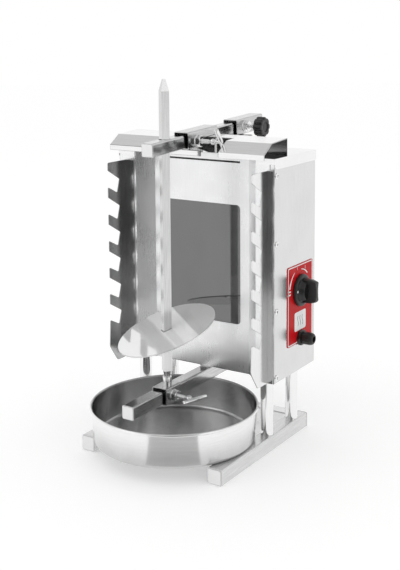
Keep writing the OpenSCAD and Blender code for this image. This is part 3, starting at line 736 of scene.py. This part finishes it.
@dataclass(frozen=True)
class Casing:
    """Sheets of the body and the screws that hold them."""

    screw_count: int = 4
    head_d: float = 12 * MM
    head_h: float = 2.4 * MM
    rim_h: float = 0.6 * MM
    socket_across: float = 5 * MM
    socket_depth: float = 1.6 * MM
    head_turn: float = 0.4

    def build(self) -> None:
        """Dresses the sheets and makes the screw heads."""
        dress(SHEET, "left_side_panel", "right_side_panel", "rear_cover", "base_plate")
        dress(FRONT, "front_panel")
        dress(COVER, "top_cover", edge=0.6 * MM)
        self.screws("left", -1)
        self.screws("right", 1)

    def screws(self, side: str, sign: int) -> None:
        """Makes the domed screws of one side, with a hexagon socket each.

        Args:
            side: left or right.
            sign: -1 for left and 1 for right.
        """
        node = f"{side}_screws"
        span = Span.of(node)
        pitch = (span.size.z - self.head_d) / (self.screw_count - 1)
        root = span.high.x - self.head_h if sign > 0 else span.low.x + self.head_h
        radius, socket = self.head_d / 2, self.socket_across / 2
        dome = arc((socket, self.rim_h), (radius - socket, self.head_h - self.rim_h), 11.25, 67.5, 5)
        mouth = [(socket * 1.18, self.head_h * 0.98), (socket * 1.1, self.head_h * 0.9)]
        profile = [(radius, 0.0), (radius, self.rim_h), *dome, *mouth]
        profile.append((socket * 1.1, self.head_h - self.socket_depth))

        def socketed(r: float, height: float, angle: float) -> float:
            """Radius of the head, which is six-sided in its socket."""
            return hexagon(self.socket_across)(r, height, angle) if r < socket * 1.2 else r

        shape = Shape()
        for i in range(self.screw_count):
            centre = Vector((root, span.centre.y, span.low.z + radius + i * pitch))
            outward = Matrix.Rotation(sign * math.pi / 2, 4, "Y")
            turned = Matrix.Rotation(self.head_turn * i, 4, "Z")
            shape.place = Matrix.Translation(centre) @ outward @ turned
            shape.turned(profile, radius=socketed)
        shape.finish(f"{side}_screw_heads", BOLT, "base", node, sharp=30)


@dataclass(frozen=True)
class Heater:
    """Window glass with the heater behind it."""

    def build(self) -> None:
        """Dresses the glass, its retainers and the heater."""
        dress(GLASS, "window_glass")
        dress(SHEET, "left_retainer", "right_retainer", "heater_tray")
        dress(HEATER, "heating_tubes")
        dress(FIBRE, "insulation_board")


@dataclass(frozen=True)
class HoodAndRacks:
    """The two hood halves and the two notched racks."""

    leg_t: float = 6 * MM

    def build(self) -> None:
        """Dresses the folded sheets."""
        inside_y = Span.of("left_hood").high.y - self.leg_t
        # the hood steel paints shade on the hood's inner faces
        hood = HoodSteel("hood_sheet", grey(0.9), roughness=0.12, grain=Grain.ALONG_X, inside_y=inside_y)
        dress(hood, "left_hood", "right_hood", edge=0.5 * MM, cut=PAINTED_EDGE_SHADE)
        dress(RACK, "right_rack", edge=0.6 * MM, cut=PAINTED_EDGE_SHADE)
        # the left rack wears the darker copy of the rack steel: painted shade
        dress(PAINTED_SHADE_RACK, "left_rack", edge=0.6 * MM, cut=PAINTED_EDGE_SHADE)


@dataclass(frozen=True)
class Thread:
    """A rod with a real helical thread."""

    rod_d: float = 8 * MM
    pitch: float = 1.25 * MM
    depth: float = 0.75 * MM
    flank: float = 1.35
    steps: int = 32
    per_pitch: int = 6

    def radius(self, r: float, height: float, angle: float) -> float:
        """Rule for Shape.turned: the radius of the thread."""
        phase = (height / self.pitch - angle / math.tau) % 1
        return r - self.depth * min(1.0, self.flank * abs(2 * phase - 1))

    def add(self, shape: Shape, start: float, stop: float) -> None:
        """Adds the rod to a shape, along local Z.

        Args:
            shape: the mesh that gets the rod.
            start: height of its first end.
            stop: height of its last end.
        """
        count = max(2, round((stop - start) / self.pitch * self.per_pitch))
        profile = [(self.rod_d / 2, start + (stop - start) * i / count) for i in range(count + 1)]
        shape.turned(profile, self.steps, self.radius)


@dataclass(frozen=True)
class ClampScrew:
    """A threaded screw with a ball and a cross bar."""

    node: str
    nut: str
    body: str
    bar_turn: float
    ball_to_bar: float
    bar_d: float
    thread: Thread = Thread()
    neck_d: float = 5.5 * MM
    ball_d: float = 11.5 * MM
    bar_length: float = 62 * MM

    def build(self) -> None:
        """Makes the threaded rod with its ball, and the cross bar."""
        span, nut = Span.of(self.node), Span.of(self.nut)
        bar_x = span.high.x - self.bar_d / 2
        ball_x = bar_x - self.ball_to_bar
        radius, neck = self.ball_d / 2, self.neck_d / 2
        rod = Shape(along_x(nut.at_x(0)))
        self.thread.add(rod, span.low.x, ball_x - self.ball_d * 0.7)
        ball = arc((0, ball_x), (radius, radius), -56.25, 67.5, 11)
        foot = (self.thread.rod_d * 0.36, ball_x - self.ball_d * 0.72)
        rod.turned([foot, *ball, (neck, ball[-1][1]), (neck, bar_x)], 32)
        rod.finish(f"{self.node}_rod", BOLT, self.body, self.node, sharp=50)
        self.cross_bar(nut.at_x(bar_x))

    def cross_bar(self, centre: Vector) -> None:
        """Makes the cross bar with eased ends.

        Args:
            centre: the middle of the bar.
        """
        ease = self.bar_d / 5
        half, radius = self.bar_length / 2, self.bar_d / 2
        ends = [(radius - ease, 0.0), (radius - ease * 0.3, ease * 0.3), (radius, ease)]
        turn = Matrix.Rotation(math.radians(self.bar_turn), 4, "X")
        bar = Shape(Matrix.Translation(centre) @ turn)
        low, high = [(r, h - half) for r, h in ends], [(r, half - h) for r, h in reversed(ends)]
        bar.turned(low + high, 32)
        bar.finish(f"{self.node}_bar", BOLT, self.body, sharp=50)


@dataclass(frozen=True)
class HexNut:
    """A nut with chamfered corners and a ring of weld at its foot."""

    node: str
    body: str
    chamfer: float = 1.2 * MM
    bore_d: float = 8.4 * MM
    face_share: float = 0.96
    bead: float = 1.3 * MM
    ripple_h: float = 0.18 * MM
    ripples: int = 11
    swells: int = 3

    def build(self) -> None:
        """Makes the nut, its bore and the weld that holds it on the sleeve."""
        span = Span.of(self.node)
        across, thick = min(span.size.y, span.size.z), span.size.x
        bore, corner = self.bore_d / 2, across / math.sqrt(3)
        low = across / 2 * self.face_share
        slope = [(low, 0.0), (corner - self.chamfer * 0.4, self.chamfer * 0.55), (corner, self.chamfer)]
        far_slope = [(r, thick - h) for r, h in reversed(slope)]
        inside = [(bore + self.chamfer, thick), (bore, thick - self.chamfer)]
        place = along_x(span.at_x(span.low.x))
        turn = math.pi / 6 if span.size.y < span.size.z else 0.0
        nut = Shape(place @ Matrix.Rotation(turn, 4, "Z"))
        nut.turned([(bore, 0.0), *slope, *far_slope, *inside], 72, hexagon(across), Ends.JOINED)
        nut.finish(f"{self.node}_body", BOLT, self.body, self.node, sharp=25)
        self.weld(place, low)

    def weld(self, place: Matrix, foot: float) -> None:
        """Makes the ring of weld with its ripples.

        Args:
            place: matrix from the nut's frame to the model's.
            foot: radius of the nut's foot.
        """
        half_round = arc((0, 0), (1, 0.9), 0, 180, 8)
        section = [(foot + self.bead * (1 - 0.2 * abs(out) + 0.8 * out), self.bead * up)
                   for out, up in half_round]

        def rippled(r: float, _height: float, angle: float) -> float:
            """Radius of the bead with its ripples."""
            swell = 1 + math.sin(self.swells * angle)
            return r + self.ripple_h * swell * math.sin(self.ripples * angle)

        ring = Shape(place)
        ring.turned(section, 60, rippled, Ends.OPEN)
        ring.finish(f"{self.node}_weld", BOLT, self.body, sharp=60)


@dataclass(frozen=True)
class StarKnob:
    """The black lobed knob on the rear clamp screw."""

    node: str = "star_knob"
    nut: str = "rear_nut"
    body: str = "star_knob_body"
    thread: Thread = Thread()
    diameter: float = 40 * MM
    thickness: float = 23 * MM
    lobes: int = 8
    hollow: float = 3.2 * MM
    hollow_share: float = 0.17
    back_round: float = 2.5 * MM
    front_round: float = 3.5 * MM
    lip: float = 0.6 * MM

    def lobed(self, r: float, _height: float, angle: float) -> float:
        """Rule for Shape.turned: the radius of the knob with a hollow between the lobes.

        Args:
            r: the profile's radius.
            _height: the profile's height, which changes nothing here.
            angle: angle round the axis.

        Returns:
            The radius there.
        """
        share = r / (self.diameter / 2)
        if share < 0.62:
            return r
        turn = (angle * self.lobes / math.tau) % 1 - 0.5
        return r - self.hollow * math.exp(-(turn / self.hollow_share) ** 2) * min(1.0, share ** 2)

    def build(self) -> None:
        """Makes the knob and its threaded rod."""
        span, nut = Span.of(self.node), Span.of(self.nut)
        place = along_x(nut.at_x(0))
        far, near = span.high.x, span.high.x - self.thickness
        radius = self.diameter / 2
        hub, step, inner = radius * 0.55, near + self.thickness * 0.2, radius * 0.5
        back, front = self.back_round, self.front_round
        profile = [(hub * 0.9, near), (hub, near + self.lip), (hub, step)]
        profile += arc((radius - back, step + back), (back, back), -90, 0, 4)
        profile += arc((radius - front, far - front), (front, front), 0, 90, 6)
        profile += [(inner + 1 * MM, far), (inner, far - self.lip), (inner, far - 1.6 * MM)]
        profile.append((inner * 0.4, far - 1.3 * MM))
        knob = Shape(place)
        knob.turned(profile, 128, self.lobed)
        knob.finish("star_knob_grip", BLACK, self.body, self.node, sharp=40)
        rod = Shape(place)
        self.thread.add(rod, span.low.x, near + 1 * MM)
        rod.finish("star_knob_rod", BOLT, self.body, sharp=50)


@dataclass(frozen=True)
class UpperArm:
    """The sloping arm, its sleeves, saddles and clamp screws."""

    def build(self) -> None:
        """Dresses the tubes and makes the screws and nuts."""
        dress(ARM, "upper_arm")
        dress(CAP, "upper_arm_cap", edge=0.6 * MM, cut=PAINTED_EDGE_SHADE)
        dress(SLEEVE, "front_sleeve", "rear_sleeve", "front_saddle", "rear_saddle")
        HexNut("front_nut", "base").build()
        HexNut("rear_nut", "base").build()
        ClampScrew("upper_t_screw", "front_nut", "upper_t_screw_body", bar_turn=36.86,
                   ball_to_bar=18 * MM, bar_d=9 * MM).build()
        StarKnob().build()


@dataclass(frozen=True)
class LowerArm:
    """The level arm with the sliding sleeve that carries the skewer."""

    def build(self) -> None:
        """Dresses the tubes and makes the screw and nut."""
        dress(ARM, "lower_arm")
        dress(CAP, "lower_arm_cap", edge=0.6 * MM, cut=PAINTED_EDGE_SHADE)
        dress(CAP, "lower_arm_spacers")
        dress(SLEEVE, "carriage_sleeve")
        dress(BOLT, "skewer_cup")
        HexNut("carriage_nut", "carriage").build()
        ClampScrew("lower_t_screw", "carriage_nut", "lower_t_screw_body", bar_turn=82,
                   ball_to_bar=13 * MM, bar_d=8 * MM, bar_length=74 * MM).build()


@dataclass(frozen=True)
class Spit:
    """The skewer and the disc on it."""

    def build(self) -> None:
        """Dresses the skewer and the disc."""
        dress(SPIT, "skewer")
        dress(MIRROR, "meat_disc", edge=0.3 * MM, cut=PAINTED_EDGE_SHADE)


@dataclass(frozen=True)
class DripPan:
    """The round pan under the skewer."""

    def build(self) -> None:
        """Dresses the pan with marks that run round its middle."""
        middle = Span.of("drip_pan").centre
        centre = (middle.x, middle.y, 0.0)
        steel = PanSteel("pan_steel", grey(0.9), grain=Grain.ROUND_Z, anisotropy=0.8, centre=centre)
        dress(steel, "drip_pan")


@dataclass(frozen=True)
class Controls:
    """The red plate with its print, the knob and the cable gland."""

    print_h: float = 0.12 * MM
    border_inset: float = 1.4 * MM
    border_w: float = 2 * MM
    border_corner: float = 3 * MM
    dial_r: float = 45 * MM
    tick_l: float = 12 * MM
    tick_turn: float = 4.0
    tick_starts: tuple[float, ...] = (172.0, 180.0)
    digits: tuple[tuple[str, float], ...] = (("1", 106.0), ("2", 64.0))
    digit_h: float = 8 * MM
    label_w: float = 46 * MM
    label_h: float = 37 * MM
    label_up: float = 43 * MM
    wave_l: float = 20 * MM
    wave_w: float = 1.4 * MM
    wave_gap: float = 9 * MM
    wave_swing: float = 1.6 * MM
    knob_d: float = 62 * MM
    skirt_h: float = 8 * MM
    hub_d: float = 40 * MM
    grip_t: float = 14 * MM
    gland_across: float = 27 * MM
    gland_bore: float = 10 * MM
    gland_dome_d: float = 24.2 * MM
    gland_ribs: int = 12
    gland_rib_h: float = 0.7 * MM

    def build(self) -> None:
        """Dresses the plate and what lies behind it, and makes the print, the knob and the gland."""
        dress(RED, "control_plate")
        dress(BLACK, "gland_nut")
        dress(PALE, "energy_regulator", "terminal_block")
        plate, knob, gland = (Span.of(name) for name in ("control_plate", "control_knob", "cable_gland"))
        face = plate.high.x
        self.border(plate)
        self.dial(knob.at_x(face))
        self.label(Vector((face, plate.centre.y, plate.low.z + self.label_up)))
        self.knob(knob.at_x(face), knob.high.x - face)
        self.gland(gland.at_x(face), gland.high.x - face)

    def on_plate(self, origin: Vector) -> Matrix:
        """Returns the matrix from print coordinates, with the plate's Y and Z as X and Y."""
        axes = Matrix(((0, 0, 1, 0), (1, 0, 0, 0), (0, 1, 0, 0), (0, 0, 0, 1)))
        return Matrix.Translation(origin) @ axes

    def swept(self, radius: float, start: float, stop: float, first_w: float, last_w: float) -> Outline:
        """Draws an arc about zero that changes in width.

        Args:
            radius: radius of its middle line.
            start: first angle in degrees.
            stop: last angle in degrees.
            first_w: width at the start.
            last_w: width at the end.

        Returns:
            Its outline.
        """
        steps = 24
        sides = ([], [])
        for i in range(steps + 1):
            share = i / steps
            angle = math.radians(start + (stop - start) * share)
            half = (first_w + (last_w - first_w) * share) / 2
            for side, reach in zip(sides, (radius - half, radius + half)):
                side.append((reach * math.cos(angle), reach * math.sin(angle)))
        return sides[0] + sides[1][::-1]

    def border(self, plate: Span) -> None:
        """Prints the frame of the plate.

        Args:
            plate: box of the plate.
        """
        outlines = []
        for inset, corner in ((0.0, self.border_corner), (self.border_w, self.border_corner / 2)):
            less = 2 * (self.border_inset + inset)
            outlines.append(rounded_outline(plate.size.y - less, plate.size.z - less, corner))
        (outer, inner), up = outlines, self.print_h
        rings = [[Vector((x, y, z)) for x, y in outline]
                 for outline, z in ((outer, 0), (outer, up), (inner, up), (inner, 0))]
        border = Shape(self.on_plate(plate.at_x(plate.high.x)))
        border.rings(rings, Ends.JOINED)
        border.finish("plate_border", PRINT, "base")

    def dial(self, centre: Vector) -> None:
        """Prints the dial's arcs, ticks and numbers.

        Args:
            centre: centre of the dial on the plate's face.
        """
        left = self.swept(radius=44 * MM, start=168, stop=122, first_w=5 * MM, last_w=1 * MM)
        right = self.swept(radius=40 * MM, start=86, stop=44, first_w=1 * MM, last_w=3 * MM)
        ticks = [self.swept(self.dial_r, start, start + self.tick_turn, self.tick_l, self.tick_l)
                 for start in self.tick_starts]
        dial = Shape(self.on_plate(centre))
        for outline in (left, right, *ticks):
            dial.slab(outline, 0, self.print_h)
        dial.finish("dial_print", PRINT, "base")
        for text, angle in self.digits:
            self.number(text, centre, math.radians(angle))

    def number(self, text: str, centre: Vector, angle: float) -> None:
        """Prints a number of the dial.

        Args:
            text: the number.
            centre: centre of the dial.
            angle: its place on the dial.
        """
        curve = bpy.data.curves.new(f"number_{text}", "FONT")
        curve.body = text
        curve.size = self.digit_h
        curve.extrude = self.print_h / 2
        curve.align_x = curve.align_y = "CENTER"
        spare = in_scene("spare_number", curve)
        made = bpy.data.meshes.new_from_object(spare)
        bpy.data.objects.remove(spare)
        shift = Vector((self.dial_r * math.cos(angle), self.dial_r * math.sin(angle), self.print_h / 2))
        shape = Shape(self.on_plate(centre) @ Matrix.Translation(shift))
        shape.mesh.from_mesh(made)
        shape.mesh.transform(shape.place)
        bpy.data.meshes.remove(made)
        shape.finish(f"dial_number_{text}", PRINT, "base")

    def label(self, centre: Vector) -> None:
        """Prints a plain white field with three heat waves.

        Args:
            centre: the middle of the field on the plate's face.
        """
        field = Shape(self.on_plate(centre))
        field.slab(rounded_outline(self.label_w, self.label_h, 4 * MM), 0, self.print_h)
        field.finish("plain_label", PRINT, "base")
        waves = Shape(self.on_plate(centre))
        steps = 24
        for column in (-1, 0, 1):
            sides = ([], [])
            for i in range(steps + 1):
                x = column * self.wave_gap + self.wave_swing * math.sin(math.tau * i / steps)
                for side, half in zip(sides, (-self.wave_w / 2, self.wave_w / 2)):
                    side.append((x + half, (i / steps - 0.5) * self.wave_l))
            waves.slab(sides[0] + sides[1][::-1], self.print_h, 1.8 * self.print_h)
        waves.finish("heat_waves", GREY_PRINT, "base")

    def knob(self, centre: Vector, height: float) -> None:
        """Makes the dial knob: a skirt, a hub and an upright waisted grip.

        Args:
            centre: centre of the dial on the plate's face.
            height: how far the knob stands out.
        """
        body = "control_knob_body"
        sizes = (self.knob_d / 2, self.hub_d / 2, self.skirt_h, height)
        radius, hub, top, tall = (size / MM for size in sizes)
        rim = [(radius - 0.6, 0.3), (radius, 0.9), (radius, 5), (radius - 0.5, 6.3), (radius - 1.6, 7.3)]
        groove = [(radius - 3.2, top), (hub + 5.2, top + 0.3)]
        groove += [(hub + 4.2, top - 0.6), (hub + 3.4, top - 0.6)]
        neck = [(hub + 2.4, top + 0.6), (hub + 1, top + 2.4), (hub, top + 5)]
        head = [(hub - 0.8, tall / 2 - 1.6), (hub - 2.4, tall / 2)]
        skirt = Shape(along_x(centre))
        skirt.turned(in_mm(rim + groove + neck + head), 96)
        skirt.finish("control_knob_skirt", BLACK, body, "control_knob", sharp=40)
        levels = ((1.16, top), (1.16, tall * 0.5), (1.13, tall * 0.7), (1.04, tall * 0.88),
                  (0.98, tall - 1.2), (0.92, tall - 0.3), (0.8, tall))
        outline = self.grip_outline()
        grip = Shape(self.on_plate(centre))
        grip.rings([[Vector((y * scale, x * scale, level * MM)) for x, y in outline]
                    for scale, level in levels])
        grip.finish("control_knob_grip", BLACK, body, edge=0.8 * MM, sharp=30)
        shift = Vector((top - 0.1, 6 - radius, 2)) * MM
        dot = Shape(along_x(centre + shift))
        dot.turned(in_mm([(2.6, 0), (2.6, 0.2), (2.2, 0.35)]), 24)
        dot.finish("control_knob_dot", PRINT, body)

    def grip_outline(self) -> Outline:
        """Draws the waisted grip, long along its first axis.

        Returns:
            Its outline.
        """
        steps = 16
        reach, half = self.hub_d / 2, self.grip_t / 2
        side = []
        for i in range(steps + 1):
            share = 2 * i / steps - 1
            side.append((reach * share * 0.93, half * (0.72 + 0.28 * share * share)))
        side += [(reach, half * 0.55), (reach, -half * 0.55)]
        return side + [(-x, -y) for x, y in side]

    def gland(self, centre: Vector, height: float) -> None:
        """Makes the cable gland: a hexagon, a ribbed dome nut and a soft seal in its mouth.

        Args:
            centre: its axis on the plate's face.
            height: how far it stands out.
        """
        place = along_x(centre)
        corner = self.gland_across / math.sqrt(3) / MM
        foot = [(corner - 1, 0), (corner, 0.6), (corner, 6.4), (corner - 1.2, 7.4), (11, 7.5), (11, 9)]
        base = Shape(place)
        base.turned(in_mm(foot), 72, hexagon(self.gland_across))
        base.finish("cable_gland_base", BLACK, "base", "cable_gland", sharp=25)

        def ribbed(r: float, h: float, angle: float) -> float:
            """Rule for Shape.turned: the radius of the dome nut with its grip ribs.

            Args:
                r: the profile's radius.
                h: the profile's height.
                angle: angle round the axis.

            Returns:
                The radius there.
            """
            if not 9 * MM < h < height * 0.78 or r < 11 * MM:
                return r
            return r - self.gland_rib_h * (0.5 + 0.5 * math.cos(self.gland_ribs * angle)) ** 3

        radius, mouth, tall = (size / MM for size in (self.gland_dome_d / 2, self.gland_bore / 2, height))
        wall = [(radius - 0.8, 8.8), (radius, 9.6), (radius, 14), (radius, tall * 0.7)]
        dome = arc((mouth + 2.2, tall * 0.7), (radius - mouth - 2.2, tall * 0.3), 11.25, 78.75, 6)
        seal = [(mouth + 1.2, tall), (mouth + 1, tall - 1), (mouth + 1, tall * 0.8), (mouth, tall * 0.78)]
        cap = Shape(place)
        cap.turned(in_mm(wall + dome + seal + [(mouth, 0)]), 96, ribbed, Ends.FIRST_CAPPED)
        cap.finish("cable_gland_dome", BLACK, "base")


@dataclass(frozen=True)
class Studio:
    """Floor, soft light and camera."""

    image_h: int = 570
    sensor: float = 36.0
    focal_px: float = 1046.2
    shift_px: float = -125.0
    heading: float = 32.88
    pitch: float = 7.53
    roll: float = -0.435
    eye: Point = (1.05972, -1.64415, 0.81156)
    near_clip: float = 0.05
    far_clip: float = 60.0
    floor_r: float = 12.0
    floor_tone: float = 0.86
    floor_lift: float = 0.26
    floor_even: float = 0.6
    screen_r: float = 1.3
    screen_h: float = 1.1
    screen_half: float = 34.0
    side_tone: float = 0.38
    screen_tone: float = 0.15
    mat_half: float = 25.0
    mat_tone: float = 0.5
    mat_near: float = 0.21
    mat_centre: Point = (-0.018, -0.073, 0.0005)
    soft_level: float = 0.85
    overhead_tone: float = 0.6
    lamp_aim: Point = (0.0, 0.0, 0.35)

    def build(self) -> None:
        """Makes the floor, the light and the camera."""
        self.floor()
        self.world()
        self.screen()
        self.mat()
        self.lamp("key_light", (-1.5, -1.6, 2.6), size=1.8, radiance=0.55)
        self.lamp("fill_light", (2.4, -0.6, 1.8), size=1.6, radiance=0.3)
        self.camera()

    def painted(self, name: str, mesh: bmesh.types.BMesh,
                paint: str) -> tuple[bpy.types.Object, NodeSheet]:
        """Turns a mesh into an object with a material of its own.

        Args:
            name: the object's name.
            mesh: its mesh, which is used up.
            paint: the material's name.

        Returns:
            The object and the material's empty sheet.
        """
        data = bpy.data.meshes.new(name)
        mesh.to_mesh(data)
        mesh.free()
        sheet = NodeSheet(bpy.data.materials.new(paint))
        data.materials.append(sheet.owner)
        return in_scene(name, data), sheet

    def floor(self) -> None:
        """Makes a round pale floor that keeps the object's shadow."""
        mesh = bmesh.new()
        bmesh.ops.create_circle(mesh, cap_ends=True, segments=96, radius=self.floor_r)
        floor, sheet = self.painted("floor", mesh, "floor_paint")
        diffuse = sheet.add("ShaderNodeBsdfDiffuse", {"Color": grey(self.floor_tone)})
        rays = sheet.add("ShaderNodeLightPath").outputs
        seen = sheet.maths("MAXIMUM", rays["Is Camera Ray"], rays["Is Glossy Ray"])
        lift = sheet.glow(sheet.maths("MULTIPLY", seen, self.floor_lift))
        both = sheet.add("ShaderNodeAddShader", {0: diffuse.outputs[0], 1: lift.outputs[0]})
        share = sheet.maths("MULTIPLY", rays["Is Glossy Ray"], self.floor_even)
        even = sheet.glow(1.0)
        sheet.show(sheet.add("ShaderNodeMixShader", {0: share, 1: both.outputs[0], 2: even.outputs[0]}))

    def band(self, centre: Point, half: float, edges: Outline, steps: int) -> bmesh.types.BMesh:
        """Makes a part of a ring that lies between the object and the camera.

        Args:
            centre: middle of the ring.
            half: half its angle.
            edges: radius and height of its two edges.
            steps: faces along it.

        Returns:
            The mesh.
        """
        mesh = bmesh.new()
        x, y, z = centre
        columns = []
        for i in range(steps + 1):
            angle = math.radians(self.heading) - half + 2 * half * i / steps
            out, ahead = math.sin(angle), -math.cos(angle)
            columns.append([mesh.verts.new((x + r * out, y + r * ahead, z + h)) for r, h in edges])
        for left, right in zip(columns, columns[1:]):
            mesh.faces.new((left[0], right[0], right[1], left[1]))
        return mesh

    def reflected_only(self, piece: bpy.types.Object) -> None:
        """Leaves an object to reflections alone."""
        piece.visible_camera = piece.visible_diffuse = False
        piece.visible_shadow = piece.visible_transmission = False

    def screen(self) -> None:
        """Stands a curved grey screen on the photographer's side, which only reflections show."""
        heading, half = math.radians(self.heading), math.radians(self.screen_half)
        edges = [(self.screen_r, 0.0), (self.screen_r, self.screen_h)]
        mesh = self.band((0.0, 0.0, 0.0), half, edges, 32)
        screen, sheet = self.painted("camera_side_screen", mesh, "screen_cloth")
        place = sheet.here()
        flat = sheet.vector("NORMALIZE", sheet.vector("MULTIPLY", place, (1.0, 1.0, 0.0)))
        toward = sheet.vector("DOT_PRODUCT", flat, (math.sin(heading), -math.cos(heading), 0.0))
        edge = sheet.ramp(toward, math.cos(half), math.cos(half * 0.75), 1.0, self.side_tone)
        middle = sheet.ramp(toward, math.cos(half * 0.45), math.cos(half * 0.2), 1.0, self.screen_tone)
        upper = sheet.ramp(sheet.split(place)[2], self.screen_h * 0.6, self.screen_h, 0.0, 1.0)
        sheet.show(sheet.glow(sheet.maths("MAXIMUM", sheet.maths("MULTIPLY", edge, middle), upper)))
        self.reflected_only(screen)

    def mat(self) -> None:
        """Lays a grey wedge of cloth before the pan, which only reflections show."""
        edges = [(self.mat_near, 0.0), (2 * self.screen_r, 0.0)]
        mesh = self.band(self.mat_centre, math.radians(self.mat_half), edges, 16)
        mat, sheet = self.painted("camera_side_mat", mesh, "mat_cloth")
        sheet.show(sheet.glow(self.mat_tone))
        self.reflected_only(mat)

    def world(self) -> None:
        """Makes a white surround that is a little greyer overhead."""
        sheet = NodeSheet(bpy.data.worlds.new("white_studio"))
        bpy.context.scene.world = sheet.owner
        ray = sheet.add("ShaderNodeTexCoord").outputs["Generated"]
        rays = sheet.add("ShaderNodeLightPath").outputs
        shown = sheet.maths("MAXIMUM", rays["Is Camera Ray"], rays["Is Transmission Ray"])
        overhead = sheet.ramp(sheet.split(ray)[2], 0.3, 0.85, 1.0, self.overhead_tone)
        room = sheet.maths("MAXIMUM", overhead, shown)
        soft = sheet.maths("MULTIPLY", rays["Is Diffuse Ray"], self.soft_level)
        other = sheet.maths("MULTIPLY", sheet.maths("SUBTRACT", 1.0, rays["Is Diffuse Ray"]), room)
        inputs = {"Color": grey(1.0), "Strength": sheet.maths("ADD", soft, other)}
        sheet.show(sheet.add("ShaderNodeBackground", inputs), "ShaderNodeOutputWorld")

    def lamp(self, name: str, place: Point, size: float, radiance: float) -> None:
        """Hangs a square soft light that faces the object.

        Args:
            name: the lamp's name.
            place: where it hangs.
            size: length of its sides.
            radiance: brightness of its face.
        """
        data = bpy.data.lights.new(name, "AREA")
        data.size = size
        data.energy = radiance * math.pi * size * size
        lamp = in_scene(name, data)
        lamp.location = place
        lamp.rotation_mode = "QUATERNION"
        lamp.rotation_quaternion = (Vector(self.lamp_aim) - Vector(place)).to_track_quat("-Z", "Y")

    def camera(self) -> None:
        """Sets the camera where the photograph was taken."""
        data = bpy.data.cameras.new("camera")
        data.sensor_width = self.sensor
        data.lens = self.focal_px / self.image_h * self.sensor
        data.shift_y = self.shift_px / self.image_h
        data.clip_start, data.clip_end = self.near_clip, self.far_clip
        turns = ((self.heading, "Z"), (90 - self.pitch, "X"), (self.roll, "Z"))
        heading, tilt, roll = (Matrix.Rotation(math.radians(angle), 3, axis) for angle, axis in turns)
        camera = in_scene("camera", data)
        camera.rotation_mode = "QUATERNION"
        camera.rotation_quaternion = (heading @ tilt @ roll).to_quaternion()
        camera.location = self.eye
        bpy.context.scene.camera = camera


def main() -> None:
    """Builds the studio and each sub-assembly."""
    logging.basicConfig(level=logging.INFO, format="%(name)s: %(message)s")
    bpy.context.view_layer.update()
    bpy.context.scene.view_settings.view_transform = "Standard"
    assemblies = (
        Studio(), Undercarriage(), Casing(), Heater(), HoodAndRacks(), UpperArm(), LowerArm(), Spit(),
        DripPan(), Controls(),
    )
    for assembly in assemblies:
        log.info("building %s", type(assembly).__name__)
        assembly.build()


if __name__ == "__main__":
    main()
